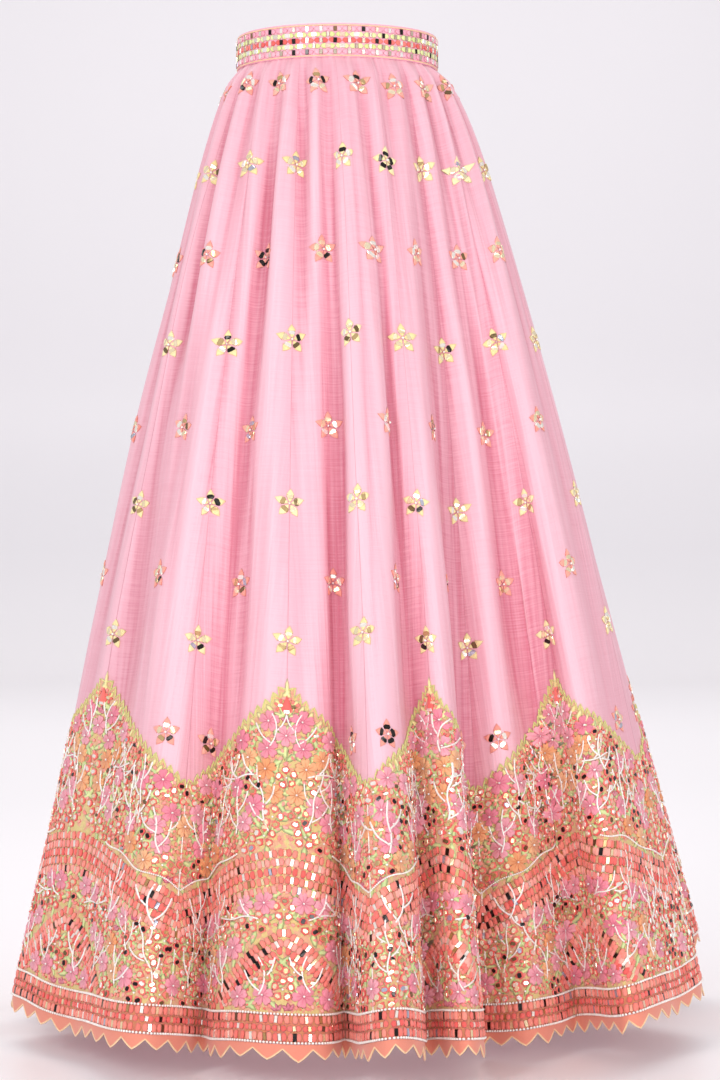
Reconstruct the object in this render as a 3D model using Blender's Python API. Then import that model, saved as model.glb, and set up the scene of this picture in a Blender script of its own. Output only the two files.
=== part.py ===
"""A floor-length lehenga skirt, drawn in metres as it hangs on a standing wearer.

The origin is the centre of the waist opening at the top edge of the band. +Z is up and the
front of the skirt faces -Y. The cloth starts as eighteen flared kalis gathered into the band
and falls in fourteen folds. A peaked border lies on every pair of kalis and a toothed edging
hangs from each hem.

Any place on the cloth is named by two shares: u runs round the skirt from one border valley
and v runs down it from the band to the hem.
"""
import bpy
import numpy as np
from mathutils import Vector
from mathutils.geometry import tessellate_polygon

# Waist and band
WAIST_HALF_WIDTH = 0.1085
WAIST_HALF_DEPTH = 0.0900
BAND_HEIGHT = 0.0360
BAND_LAP = 0.040
BAND_TUCK = 0.0042
BAND_STEPS = 50

# Cloth
CLOTH_LENGTH = 1.0350
CLOTH_WALL = 0.0012
SEAM_GAP = 0.0003
KALI_COUNT = 18
KALI_COLUMNS = 9
WAIST_TURN_DEG = -81.0
HEM_SHIFT = -0.01875

# How the cloth spreads and folds on its way down
SPREAD_POWER = 0.73
FOLD_POWER = 1.20
HEM_ROUNDING = 0.010
FOLD_ROUNDING = 0.0042
CLOTH_END = 1.02
MEAN_ROUNDING = 0.045
GATHER_COUNT = 27
GATHER_DEPTH = 0.0035
GATHER_PEAK = 0.10

# Border and edging
BORDER_COUNT = 9
BORDER_LIFT = 0.0003
BORDER_WALL = 0.0012
TEETH_PER_KALI = 7
TOOTH_NOTCH = 0.0045
TOOTH_TIP = 0.0155
EDGING_IN = -0.0010
EDGING_OUT = 0.0012

# One row a fold of the hem seen from above, going round from the wearer's right.
# left flank x, y, crest x, y, right flank x, y, then the valley after it x, y
HEM_FOLDS = [
    (-0.330, -0.022, -0.350, -0.062, -0.312, -0.122, -0.268, -0.176),
    (-0.236, -0.238, -0.190, -0.290, -0.158, -0.252, -0.136, -0.196),
    (-0.120, -0.256, -0.078, -0.300, -0.010, -0.304, 0.008, -0.236),
    (0.028, -0.312, 0.054, -0.372, 0.084, -0.325, 0.088, -0.238),
    (0.112, -0.282, 0.130, -0.322, 0.147, -0.262, 0.144, -0.146),
    (0.166, -0.165, 0.194, -0.192, 0.232, -0.154, 0.252, -0.100),
    (0.276, -0.165, 0.298, -0.228, 0.334, -0.176, 0.362, -0.124),
    (0.386, -0.078, 0.394, -0.026, 0.350, 0.024, 0.292, 0.066),
    (0.345, 0.108, 0.424, 0.185, 0.355, 0.240, 0.236, 0.192),
    (0.256, 0.262, 0.222, 0.330, 0.158, 0.302, 0.096, 0.212),
    (0.110, 0.306, 0.062, 0.372, 0.004, 0.330, -0.020, 0.238),
    (-0.060, 0.322, -0.122, 0.352, -0.170, 0.292, -0.140, 0.204),
    (-0.210, 0.262, -0.277, 0.252, -0.290, 0.176, -0.222, 0.112),
    (-0.300, 0.126, -0.356, 0.074, -0.330, 0.034, -0.272, 0.006),
]

# Border outline from its peak to its valley: share of the kali, height above the hem
BORDER_OUTLINE = [
    (0.00, 0.358),
    (0.05, 0.344),
    (0.13, 0.332),
    (0.34, 0.310),
    (0.55, 0.290),
    (0.82, 0.264),
    (1.00, 0.246),
]

# Kali rows: share of the way from the band to the border outline, then from there to the hem
UPPER_ROWS = (0.0, 0.045, 0.13, 0.27, 0.52)
LOWER_ROWS = (0.0, 0.34, 0.67, 1.0)

# Outer side of the band: height below its top edge, thickness beyond the cloth line
BAND_SECTION = [
    (0.0000, 0.0006),
    (0.0026, 0.0008),
    (0.0036, 0.0020),
    (0.0084, 0.0020),
    (0.0094, 0.0010),
    (0.0104, 0.0020),
    (0.0146, 0.0020),
    (0.0156, 0.0010),
    (0.0166, 0.0022),
    (0.0212, 0.0022),
    (0.0222, 0.0010),
    (0.0232, 0.0020),
    (0.0274, 0.0020),
    (0.0284, 0.0010),
    (0.0294, 0.0020),
    (0.0342, 0.0020),
    (0.0360, 0.0008),
]

COLOURS = {
    "silk": (0.93, 0.55, 0.64, 1.0),
    "border": (0.90, 0.42, 0.30, 1.0),
    "edging": (0.88, 0.26, 0.22, 1.0),
    "band": (0.92, 0.45, 0.36, 1.0),
}


def material(name, colour, roughness):
    """A plain cloth material."""
    made = bpy.data.materials.new(name)
    made.use_nodes = True
    shader = made.node_tree.nodes["Principled BSDF"]
    shader.inputs["Base Color"].default_value = colour
    shader.inputs["Roughness"].default_value = roughness
    return made


def loop_through(points, steps):
    """A smooth closed line through the points, as a centripetal spline."""
    count = len(points)
    line = []
    for i in range(count):
        p0, p1, p2, p3 = (points[(i + k - 1) % count] for k in range(4))
        t1 = np.linalg.norm(p1 - p0) ** 0.5
        t2 = t1 + np.linalg.norm(p2 - p1) ** 0.5
        t3 = t2 + np.linalg.norm(p3 - p2) ** 0.5
        t = np.linspace(t1, t2, steps, endpoint=False)[:, None]
        a1 = (t1 - t) / t1 * p0 + t / t1 * p1
        a2 = (t2 - t) / (t2 - t1) * p1 + (t - t1) / (t2 - t1) * p2
        a3 = (t3 - t) / (t3 - t2) * p2 + (t - t2) / (t3 - t2) * p3
        b1 = (t2 - t) / t2 * a1 + t / t2 * a2
        b2 = (t3 - t) / (t3 - t1) * a2 + (t - t1) / (t3 - t1) * a3
        line.append((t2 - t) / (t2 - t1) * b1 + (t - t1) / (t2 - t1) * b2)
    return np.concatenate(line)


def space_evenly(line, count):
    """The closed line again with evenly spaced points, and its length."""
    closed = np.concatenate([line, line[:1]])
    run = np.r_[0.0, np.cumsum(np.linalg.norm(np.diff(closed, axis=0), axis=1))]
    at = np.linspace(0.0, run[-1], count, endpoint=False)
    return np.stack([np.interp(at, run, closed[:, k]) for k in range(2)], axis=1), run[-1]


def hang_cloth(around, down):
    """Cloth points and outward normals on a fine grid, rows going down and columns round."""
    wave = np.fft.fftfreq(around) * around

    def rounded(spectrum, share):
        return np.fft.ifft(spectrum * np.exp(-0.5 * (2 * np.pi * wave * share) ** 2))

    plan = loop_through(np.array(HEM_FOLDS).reshape(-1, 2), 40)
    plan, length = space_evenly(plan, around)
    plan = rounded(np.fft.fft(plan[:, 0] + 1j * plan[:, 1]), HEM_ROUNDING / length)
    plan, length = space_evenly(np.stack([plan.real, plan.imag], axis=1), around)
    plan = np.roll(plan, -int(round(HEM_SHIFT * around)), axis=0)
    spectrum = np.fft.fft(plan[:, 0] + 1j * plan[:, 1])
    mean = rounded(spectrum, MEAN_ROUNDING)

    u = np.arange(around) / around
    turn = 2 * np.pi * u + np.radians(WAIST_TURN_DEG)
    waist = WAIST_HALF_WIDTH * np.sin(turn) - 1j * WAIST_HALF_DEPTH * np.cos(turn)
    ripple = np.sin(2 * np.pi * GATHER_COUNT * u + 1.1 * np.sin(4 * np.pi * u + 0.5))

    rows = []
    for v in np.linspace(0.0, CLOTH_END, down + 1):
        share = FOLD_ROUNDING * (1.0 + 1.6 * max(1.0 - v, 0.0))
        folds = rounded(spectrum, np.sqrt(share ** 2 - (HEM_ROUNDING / length) ** 2)) - mean
        spread = v ** SPREAD_POWER
        row = waist * (1.0 - spread) + mean * spread + folds * v ** FOLD_POWER
        along = np.roll(row, -1) - np.roll(row, 1)
        out = -1j * along / np.abs(along)
        depth = GATHER_DEPTH * v / GATHER_PEAK * np.exp(1.0 - v / GATHER_PEAK)
        rows.append(row + out * ripple * depth)
    flat = np.array(rows)

    step = CLOTH_LENGTH * CLOTH_END / down
    sideways = np.abs(np.diff(flat, axis=0))
    drop = np.sqrt(np.maximum(step ** 2 - sideways ** 2, (0.3 * step) ** 2))
    height = -BAND_HEIGHT - SEAM_GAP - np.concatenate([np.zeros((1, around)), np.cumsum(drop, axis=0)])
    points = np.stack([flat.real, flat.imag, height], axis=2)

    along = np.roll(points, -1, axis=1) - np.roll(points, 1, axis=1)
    downward = np.gradient(points, axis=0)
    normals = np.cross(downward, along)
    normals /= np.linalg.norm(normals, axis=2, keepdims=True)
    return points, normals


def read_grid(grid, u, v):
    """The value of a fine grid at each pair of shares."""
    down, around = grid.shape[0] - 1, grid.shape[1]
    x = np.mod(u, 1.0) * around
    y = np.clip(v / CLOTH_END * down, 0.0, down - 1e-9)
    i, j = np.floor(y).astype(int), np.floor(x).astype(int) % around
    fy, fx = (y - np.floor(y))[..., None], (x - np.floor(x))[..., None]
    k = (j + 1) % around
    top = grid[i, j] * (1 - fx) + grid[i, k] * fx
    bottom = grid[i + 1, j] * (1 - fx) + grid[i + 1, k] * fx
    return top * (1 - fy) + bottom * fy


def close_wall(name, near, far, collection, look):
    """A closed wall between an inner and an outer grid of points, rows down and columns round."""
    rows, columns = near.shape[:2]
    points = np.concatenate([near.reshape(-1, 3), far.reshape(-1, 3)])
    half = rows * columns
    faces = []
    for i in range(rows - 1):
        for j in range(columns - 1):
            a = i * columns + j
            b, c, d = a + 1, a + columns + 1, a + columns
            faces.append((a, b, c))
            faces.append((a, c, d))
            faces.append((half + a, half + c, half + b))
            faces.append((half + a, half + d, half + c))
    right = [i * columns + columns - 1 for i in range(rows)]
    left = [i * columns for i in range(rows)]
    top = list(range(columns))
    bottom = [(rows - 1) * columns + j for j in range(columns)]
    for edge, forward in ((right, True), (left, False), (top, True), (bottom, False)):
        for a, b in zip(edge, edge[1:]):
            pair = [(a, half + a, half + b), (a, half + b, b)]
            faces += pair if forward else [(a, c, b) for a, b, c in pair]
    return solid(name, points, faces, collection, look)


def solid(name, points, faces, collection, look):
    """A smooth mesh object with its faces turned outward."""
    faces = np.array(faces)
    corner = points[faces]
    volume = np.einsum("ij,ij->i", corner[:, 0], np.cross(corner[:, 1], corner[:, 2])).sum()
    if volume < 0:
        faces = faces[:, ::-1]
    mesh = bpy.data.meshes.new(name)
    mesh.from_pydata(points.tolist(), [], faces.tolist())
    mesh.materials.append(look)
    mesh.polygons.foreach_set("use_smooth", [True] * len(mesh.polygons))
    mesh.update()
    made = bpy.data.objects.new(name, mesh)
    collection.objects.link(made)
    return made


def kali_columns(points, index):
    """Column places across one kali, closer together where the hem turns sharply."""
    u = (index + np.linspace(0.0, 1.0, 241)) / KALI_COUNT
    low = read_grid(points, u, np.full_like(u, 0.9))
    step = np.diff(low[:, :2], axis=0)
    heading = np.unwrap(np.arctan2(step[:, 1], step[:, 0]))
    run = np.linalg.norm(step, axis=1)
    bend = np.abs(np.gradient(heading)) / run
    weight = run * (1.0 + 0.035 * np.minimum(bend, 110.0))
    total = np.r_[0.0, np.cumsum(weight)]
    return np.interp(np.linspace(0.0, total[-1], KALI_COLUMNS + 1), total, u)


def outline_height(u):
    """Height of the border above the hem: a peak on odd seams and a valley on even ones."""
    place = np.abs(np.mod(u * BORDER_COUNT, 1.0) - 0.5) * 2.0
    table = np.array(BORDER_OUTLINE)
    return np.interp(place, table[:, 0], table[:, 1])


def panel_rows(u, upper, lower):
    """Shares down the cloth for the rows above and below the border outline, at each column."""
    outline = 1.0 - outline_height(u) / CLOTH_LENGTH
    rows = [share * outline for share in upper]
    rows += [outline + share * (1.0 - outline) for share in lower]
    return np.array(rows)


def pull_ends(grid, u, v):
    """The grid with its first and last columns moved in along the cloth by half a seam gap."""
    grid = grid.copy()
    for end, side in ((0, 1.0), (-1, -1.0)):
        edge_u, edge_v = u[..., end], v[..., end]
        way = read_grid(cloth, edge_u + 0.0008, edge_v) - read_grid(cloth, edge_u - 0.0008, edge_v)
        way /= np.linalg.norm(way, axis=-1, keepdims=True)
        grid[..., end, :] += side * way * SEAM_GAP / 2
    return grid


def layer(u, v, near, far):
    """Inner and outer points of a wall lying at two distances from the cloth line."""
    at = pull_ends(read_grid(cloth, u, v), u, v)
    out = read_grid(normal, u, v)
    out /= np.linalg.norm(out, axis=-1, keepdims=True)
    return at + out * near, at + out * far


def end_cap(section):
    """Triangles across the band section, wound the same way as its points."""
    flat = [Vector((below, thick, 0.0)) for below, thick in section]
    turned = sum(p.x * q.y - q.x * p.y for p, q in zip(flat, flat[1:] + flat[:1])) > 0
    caps = []
    for a, b, c in tessellate_polygon([flat]):
        same = (flat[b] - flat[a]).cross(flat[c] - flat[a]).z > 0
        caps.append((a, b, c) if same == turned else (a, c, b))
    return caps


def toothed_hem(u):
    """Places along one border hem with the depth of the toothed edge at each."""
    teeth = 2 * TEETH_PER_KALI
    corner = np.linspace(u[0], u[-1], 2 * teeth + 1)
    for k in range(1, 2 * teeth):
        near = np.argmin(np.abs(u - corner[k]))
        if abs(u[near] - corner[k]) < 0.0010:
            corner[k] = u[near]
    depth = np.where(np.arange(2 * teeth + 1) % 2 == 0, TOOTH_NOTCH, TOOTH_TIP)
    places = np.union1d(corner, u)
    return places, np.interp(places, corner, depth)


for old in list(bpy.data.objects):
    bpy.data.objects.remove(old, do_unlink=True)
garment = bpy.data.collections.new("lehenga_skirt")
bpy.context.scene.collection.children.link(garment)
silk = material("silk_pink", COLOURS["silk"], 0.5)
border_look = material("border_embroidery", COLOURS["border"], 0.6)
edging_look = material("edging_coral", COLOURS["edging"], 0.6)
band_look = material("band_embroidery", COLOURS["band"], 0.6)

cloth, normal = hang_cloth(1440, 102)
columns = [kali_columns(cloth, i) for i in range(KALI_COUNT)]

# Waistband: one strip that laps at the centre back, its inner end tucked under the outer one
place = np.linspace(0.0, 1.0 + BAND_LAP, BAND_STEPS + 1)
turn = np.pi + 2 * np.pi * place
line = np.stack([WAIST_HALF_WIDTH * np.sin(turn), -WAIST_HALF_DEPTH * np.cos(turn)], axis=1)
out = np.stack([WAIST_HALF_DEPTH * np.sin(turn), -WAIST_HALF_WIDTH * np.cos(turn)], axis=1)
out /= np.linalg.norm(out, axis=1, keepdims=True)
ease = np.clip((place - 1.0) / (1.5 * BAND_LAP) + 1.0, 0.0, 1.0)
tuck = BAND_TUCK * ease ** 2 * (3.0 - 2.0 * ease)
section = [(0.0, -CLOTH_WALL)] + BAND_SECTION + [(BAND_HEIGHT, -CLOTH_WALL)]
rings = np.zeros((BAND_STEPS + 1, len(section), 3))
for k, (below, thick) in enumerate(section):
    rings[:, k, :2] = line + out * (thick - tuck)[:, None]
    rings[:, k, 2] = -below
sides = len(section)
faces = []
for i in range(BAND_STEPS):
    for k in range(sides):
        a, b = i * sides + k, i * sides + (k + 1) % sides
        faces.append((a, b, b + sides))
        faces.append((a, b + sides, a + sides))
last = BAND_STEPS * sides
for a, b, c in end_cap(section):
    faces.append((a, c, b))
    faces.append((last + a, last + b, last + c))
solid("waistband", rings.reshape(-1, 3), faces, garment, band_look)

# Kalis: one wall each from the band to the hem
for i in range(KALI_COUNT):
    rows = panel_rows(columns[i], UPPER_ROWS, LOWER_ROWS)
    u = np.broadcast_to(columns[i], rows.shape)
    near, far = layer(u, rows, -CLOTH_WALL, 0.0)
    close_wall(f"kali_{i + 1:02d}", near, far, garment, silk)

# Border and edging: one of each on every two kalis, from one border valley to the next
for i in range(BORDER_COUNT):
    pair = np.concatenate([columns[2 * i], columns[2 * i + 1][1:]])
    rows = panel_rows(pair, (), LOWER_ROWS)
    u = np.broadcast_to(pair, rows.shape)
    near, far = layer(u, rows, BORDER_LIFT, BORDER_LIFT + BORDER_WALL)
    close_wall(f"border_{i + 1:02d}", near, far, garment, border_look)

    hem = read_grid(cloth, pair, np.ones_like(pair))
    below = read_grid(cloth, pair, np.full_like(pair, 1.01)) - hem
    below /= np.linalg.norm(below, axis=1, keepdims=True)
    out = read_grid(normal, pair, np.ones_like(pair))
    out /= np.linalg.norm(out, axis=1, keepdims=True)
    places, depth = toothed_hem(pair)
    at, down, away = (np.stack([np.interp(places, pair, part[:, k]) for k in range(3)], axis=1)
                      for part in (hem, below, out))
    strip = np.stack([at + down * SEAM_GAP, at + down * depth[:, None]])
    strip = pull_ends(strip, np.stack([places, places]), np.ones((2, len(places))))
    close_wall(f"hem_edging_{i + 1:02d}", strip + away * EDGING_IN, strip + away * EDGING_OUT,
               garment, edging_look)
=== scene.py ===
import bpy
import numpy as np
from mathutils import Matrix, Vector


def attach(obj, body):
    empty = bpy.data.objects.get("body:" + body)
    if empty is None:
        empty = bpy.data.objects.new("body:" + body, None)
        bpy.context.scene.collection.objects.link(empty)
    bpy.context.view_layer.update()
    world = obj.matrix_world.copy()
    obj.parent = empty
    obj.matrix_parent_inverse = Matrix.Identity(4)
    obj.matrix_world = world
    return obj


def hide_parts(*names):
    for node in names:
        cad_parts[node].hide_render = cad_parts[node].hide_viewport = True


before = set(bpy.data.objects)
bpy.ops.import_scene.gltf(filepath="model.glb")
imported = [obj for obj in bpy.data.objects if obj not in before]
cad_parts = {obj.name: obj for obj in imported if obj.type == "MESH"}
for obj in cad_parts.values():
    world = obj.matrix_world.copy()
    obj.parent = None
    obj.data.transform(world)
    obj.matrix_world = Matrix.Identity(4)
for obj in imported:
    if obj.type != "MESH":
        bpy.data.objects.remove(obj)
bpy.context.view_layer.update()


# Silk kalis
# Eighteen flared panels of pink dupion silk, paler inside, sewn edge to edge and gathered into
# the band. They fall in fourteen deep folds with small uneven creases between.
CLOTH_LENGTH = 1.0350
CLOTH_END = 1.02
KALI_COUNT = 18
SILK_WALL = 0.0009
BAND_HEIGHT = 0.0360
WAIST_HALF_WIDTH = 0.1085
WAIST_HALF_DEPTH = 0.0900
WAIST_TURN_DEG = -81.0
GATHER_COUNT = 27
GATHER_DEPTH = 0.0035
GATHER_PEAK = 0.10
SPREAD_POWER = 0.73
FOLD_POWER = 1.20
FOLD_ROUNDING = 0.0042
HEM_ROUNDING = 0.010
HEM_SHIFT = 0.01875
MEAN_ROUNDING = 0.045
SEAM_GAP = 0.0003
SEAM_INSET = 1.2e-5
KALI_COLUMNS = 28
KALI_ROWS = 54
AROUND = 2880
DOWN = 204

# Share of the way down, metres round the cloth there
GIRTHS = [(0.0, 0.72), (0.1, 1.02), (0.2, 1.18), (0.4, 1.64), (0.6, 2.25), (0.8, 2.98), (1.0, 3.83)]

# Left flank x, y, crest x, y, right flank x, y, then the valley after it x, y, seen from above
HEM_FOLDS = [
    (-0.330, -0.022, -0.350, -0.062, -0.312, -0.122, -0.268, -0.176),
    (-0.236, -0.238, -0.190, -0.290, -0.158, -0.252, -0.136, -0.196),
    (-0.120, -0.256, -0.078, -0.300, -0.010, -0.304, 0.008, -0.236),
    (0.028, -0.312, 0.054, -0.372, 0.084, -0.325, 0.088, -0.238),
    (0.112, -0.282, 0.130, -0.322, 0.147, -0.262, 0.144, -0.146),
    (0.166, -0.165, 0.194, -0.192, 0.232, -0.154, 0.252, -0.100),
    (0.276, -0.165, 0.298, -0.228, 0.334, -0.176, 0.362, -0.124),
    (0.386, -0.078, 0.394, -0.026, 0.350, 0.024, 0.292, 0.066),
    (0.345, 0.108, 0.424, 0.185, 0.355, 0.240, 0.236, 0.192),
    (0.256, 0.262, 0.222, 0.330, 0.158, 0.302, 0.096, 0.212),
    (0.110, 0.306, 0.062, 0.372, 0.004, 0.330, -0.020, 0.238),
    (-0.060, 0.322, -0.122, 0.352, -0.170, 0.292, -0.140, 0.204),
    (-0.210, 0.262, -0.277, 0.252, -0.290, 0.176, -0.222, 0.112),
    (-0.300, 0.126, -0.356, 0.074, -0.330, 0.034, -0.272, 0.006),
]


def loop_through(points, steps):
    """A smooth closed line through the points, as a centripetal spline."""
    count = len(points)
    line = []
    for i in range(count):
        p0, p1, p2, p3 = (points[(i + k - 1) % count] for k in range(4))
        t1 = np.linalg.norm(p1 - p0) ** 0.5
        t2 = t1 + np.linalg.norm(p2 - p1) ** 0.5
        t3 = t2 + np.linalg.norm(p3 - p2) ** 0.5
        t = np.linspace(t1, t2, steps, endpoint=False)[:, None]
        a1 = (t1 - t) / t1 * p0 + t / t1 * p1
        a2 = (t2 - t) / (t2 - t1) * p1 + (t - t1) / (t2 - t1) * p2
        a3 = (t3 - t) / (t3 - t2) * p2 + (t - t2) / (t3 - t2) * p3
        b1 = (t2 - t) / t2 * a1 + t / t2 * a2
        b2 = (t3 - t) / (t3 - t1) * a2 + (t - t1) / (t3 - t1) * a3
        line.append((t2 - t) / (t2 - t1) * b1 + (t - t1) / (t2 - t1) * b2)
    return np.concatenate(line)


def run_along(line):
    """Metres covered along a line at each of its points."""
    return np.r_[0.0, np.cumsum(np.linalg.norm(np.diff(line, axis=0), axis=1))]


def space_evenly(line, count):
    """The closed line again with evenly spaced points, and its length."""
    closed = np.concatenate([line, line[:1]])
    run = run_along(closed)
    at = np.linspace(0.0, run[-1], count, endpoint=False)
    return np.stack([np.interp(at, run, closed[:, k]) for k in range(2)], axis=1), run[-1]


def evened(line, share):
    """Values all round the cloth without the waves that are shorter than a share of it."""
    wave = np.fft.fftfreq(AROUND) * AROUND
    soft = np.exp(-0.5 * (2 * np.pi * wave * share) ** 2)
    return np.fft.ifft(np.fft.fft(line, axis=-1) * soft, axis=-1)


def hang_cloth():
    """The cloth on a fine grid, rows going down and columns round, as it falls without creases."""
    plan = loop_through(np.array(HEM_FOLDS).reshape(-1, 2), 40)
    plan, length = space_evenly(plan, AROUND)
    plan = evened(plan[:, 0] + 1j * plan[:, 1], HEM_ROUNDING / length)
    plan, length = space_evenly(np.stack([plan.real, plan.imag], axis=1), AROUND)
    plan = np.roll(plan[:, 0] + 1j * plan[:, 1], int(round(HEM_SHIFT * AROUND)))
    mean = evened(plan, MEAN_ROUNDING)

    u = np.arange(AROUND) / AROUND
    turn = 2 * np.pi * u + np.radians(WAIST_TURN_DEG)
    waist = WAIST_HALF_WIDTH * np.sin(turn) - 1j * WAIST_HALF_DEPTH * np.cos(turn)
    gathers = np.sin(2 * np.pi * GATHER_COUNT * u + 1.1 * np.sin(4 * np.pi * u + 0.5))
    rows = []
    for v in np.linspace(0.0, CLOTH_END, DOWN + 1):
        share = FOLD_ROUNDING * (1.0 + 1.6 * max(1.0 - v, 0.0))
        folds = evened(plan, np.sqrt(share ** 2 - (HEM_ROUNDING / length) ** 2)) - mean
        spread = v ** SPREAD_POWER
        row = waist * (1.0 - spread) + mean * spread + folds * v ** FOLD_POWER
        along = np.roll(row, -1) - np.roll(row, 1)
        out = -1j * along / np.abs(along)
        reach = GATHER_DEPTH * v / GATHER_PEAK * np.exp(1.0 - v / GATHER_PEAK)
        rows.append(row + out * gathers * reach)
    flat = np.array(rows)
    step = CLOTH_LENGTH * CLOTH_END / DOWN
    sideways = np.abs(np.diff(flat, axis=0))
    drop = np.sqrt(np.maximum(step ** 2 - sideways ** 2, (0.3 * step) ** 2))
    fallen = np.concatenate([np.zeros((1, AROUND)), np.cumsum(drop, axis=0)])
    return np.stack([flat.real, flat.imag, -BAND_HEIGHT - SEAM_GAP - fallen], axis=2)


def outward(points):
    """The direction straight out of the cloth at every point of its grid."""
    along = np.roll(points, -1, axis=1) - np.roll(points, 1, axis=1)
    out = np.cross(np.gradient(points, axis=0), along)
    return out / np.linalg.norm(out, axis=2, keepdims=True)


def crease_depths(seed):
    """Metres that the cloth stands in or out in small creases that wander as they run down it."""
    rng = np.random.default_rng(seed)
    wave = np.fft.rfftfreq(AROUND) * AROUND
    v = np.linspace(0.0, CLOTH_END, DOWN + 1)[:, None]

    def ridges(middle, width):
        size = np.exp(-0.5 * ((wave - middle) / width) ** 2)
        line = np.fft.irfft(size * np.exp(2j * np.pi * rng.random(len(wave))), AROUND)
        return line / line.std()

    def band_of(middle, width, knots):
        places = np.linspace(0.0, CLOTH_END, knots)
        near = np.maximum(0.0, 1.0 - np.abs(v - places) / (places[1] - places[0]))
        near = near * near * (3.0 - 2.0 * near)
        return near @ np.array([ridges(middle, width) for _ in range(knots)])

    broad = 0.8 * ridges(31, 9) + 0.6 * band_of(33, 11, 6)
    small = 0.5 * ridges(84, 24) + 0.8 * band_of(88, 30, 9)
    broad_size = np.interp(v, (0.0, 0.04, 0.14, 0.35, 0.6, 0.7, 1.02),
                           (0.0001, 0.0008, 0.0019, 0.0024, 0.0022, 0.0014, 0.0012))
    small_size = np.interp(v, (0.0, 0.10, 0.30, 0.62, 0.70, 1.02),
                           (0.0002, 0.00022, 0.00035, 0.0004, 0.0002, 0.0001))
    return broad * broad_size + small * small_size


def read_grid(grid, u, v):
    """The value of a grid on the cloth at each pair of shares."""
    x = np.mod(u, 1.0) * AROUND
    y = np.clip(v / CLOTH_END * DOWN, 0.0, DOWN - 1e-9)
    i, j = np.floor(y).astype(int), np.floor(x).astype(int) % AROUND
    fy, fx = (y - np.floor(y))[..., None], (x - np.floor(x))[..., None]
    k = (j + 1) % AROUND
    return ((grid[i, j] * (1 - fx) + grid[i, k] * fx) * (1 - fy)
            + (grid[i + 1, j] * (1 - fx) + grid[i + 1, k] * fx) * fy)


def on_cloth(u, v, lift):
    """Points lying a little above the cloth."""
    out = read_grid(facing, u, v)
    out = out / np.linalg.norm(out, axis=-1, keepdims=True)
    return read_grid(cloth, u, v) + out * np.asarray(lift)[..., None]


def girth_at(v):
    """Metres round the cloth at a share of the way down."""
    return np.interp(v, *np.array(GIRTHS).T)


def cloth_metres(u, v, middle):
    """Metres across from the middle share and up from the hem, for weaves and stitches."""
    return np.stack([(u - middle) * girth_at(v), (1.0 - v) * CLOTH_LENGTH], axis=-1)


def sewn_shell(name, near, far, metres, look, back=None):
    """A closed thin wall of cloth between an inner and an outer grid of points."""
    rows, columns = near.shape[:2]
    half = rows * columns
    points = np.concatenate([near.reshape(-1, 3), far.reshape(-1, 3)])
    a = (np.arange(rows - 1)[:, None] * columns + np.arange(columns - 1)).ravel()
    front = np.stack([a, a + columns, a + columns + 1, a + 1], axis=1) + half
    faces = [front, (front - half)[:, ::-1]]
    top = np.arange(columns)
    left = np.arange(rows) * columns
    for edge, forward in ((top, True), (top + half - columns, False),
                          (left, False), (left + columns - 1, True)):
        p, q = edge[:-1], edge[1:]
        rim = np.stack([p, p + half, q + half, q], axis=1)
        faces.append(rim if forward else rim[:, ::-1])
    faces = np.concatenate(faces)
    mesh = bpy.data.meshes.new(name)
    mesh.from_pydata(points.tolist(), [], faces.tolist())
    mesh.polygons.foreach_set("use_smooth", [True] * len(faces))
    both = np.concatenate([metres.reshape(-1, 2)] * 2)
    layer = mesh.uv_layers.new(name="cloth_metres")
    layer.data.foreach_set("uv", both[faces.ravel()].astype(np.float32).ravel())
    mesh.materials.append(look)
    if back:
        mesh.materials.append(back)
        inner = [int(len(a) <= k < 2 * len(a)) for k in range(len(faces))]
        mesh.polygons.foreach_set("material_index", inner)
    mesh.update()
    mesh.set_sharp_from_angle(angle=np.radians(50))
    made = bpy.data.objects.new(name, mesh)
    bpy.context.scene.collection.objects.link(made)
    return made


def tint(red, green, blue):
    """A display colour as the shader's own numbers."""
    share = np.array([red, green, blue]) / 255.0
    return (*np.where(share <= 0.04045, share / 12.92, ((share + 0.055) / 1.055) ** 2.4), 1.0)


def add(tree, kind, inputs=None, **settings):
    """A node with its settings and inputs, where an input is a value or another node's output."""
    made = tree.nodes.new(kind)
    for key, value in settings.items():
        setattr(made, key, value)
    for key, value in (inputs or {}).items():
        if isinstance(value, bpy.types.NodeSocket):
            tree.links.new(value, made.inputs[key])
        else:
            made.inputs[key].default_value = value
    return made


def reckon(tree, operation, *values):
    """What a maths node makes of its values."""
    return add(tree, "ShaderNodeMath", dict(enumerate(values)), operation=operation).outputs[0]


def rescaled(tree, value, low, high, to_low, to_high):
    """A value moved from one range to another and kept inside it."""
    return add(tree, "ShaderNodeMapRange", {"Value": value, "From Min": low, "From Max": high,
                                            "To Min": to_low, "To Max": to_high}).outputs[0]


def mixed(tree, share, first, second):
    """The colour that lies a share of the way from the first colour to the second."""
    return add(tree, "ShaderNodeMix", {0: share, 6: first, 7: second}, data_type="RGBA").outputs[2]


def graded(tree, share, stops, stepped=False):
    """The colour of a share on a line of stops, each a place and a display colour."""
    ramp = add(tree, "ShaderNodeValToRGB", {"Fac": share})
    if stepped:
        ramp.color_ramp.interpolation = "CONSTANT"
    first, last = ramp.color_ramp.elements
    first.position, first.color = stops[0][0], tint(*stops[0][1])
    last.position, last.color = stops[-1][0], tint(*stops[-1][1])
    for at, colour in stops[1:-1]:
        ramp.color_ramp.elements.new(at).color = tint(*colour)
    return ramp.outputs["Color"]


def relief(tree, height, strength, distance, **under):
    """The direction of a surface that a height raises."""
    return add(tree, "ShaderNodeBump", {"Strength": strength, "Distance": distance, "Height": height,
                                        **under}).outputs[0]


def named_layer(tree, name):
    """What the mesh keeps in a named layer, as outputs."""
    return add(tree, "ShaderNodeAttribute", attribute_name=name).outputs


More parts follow.
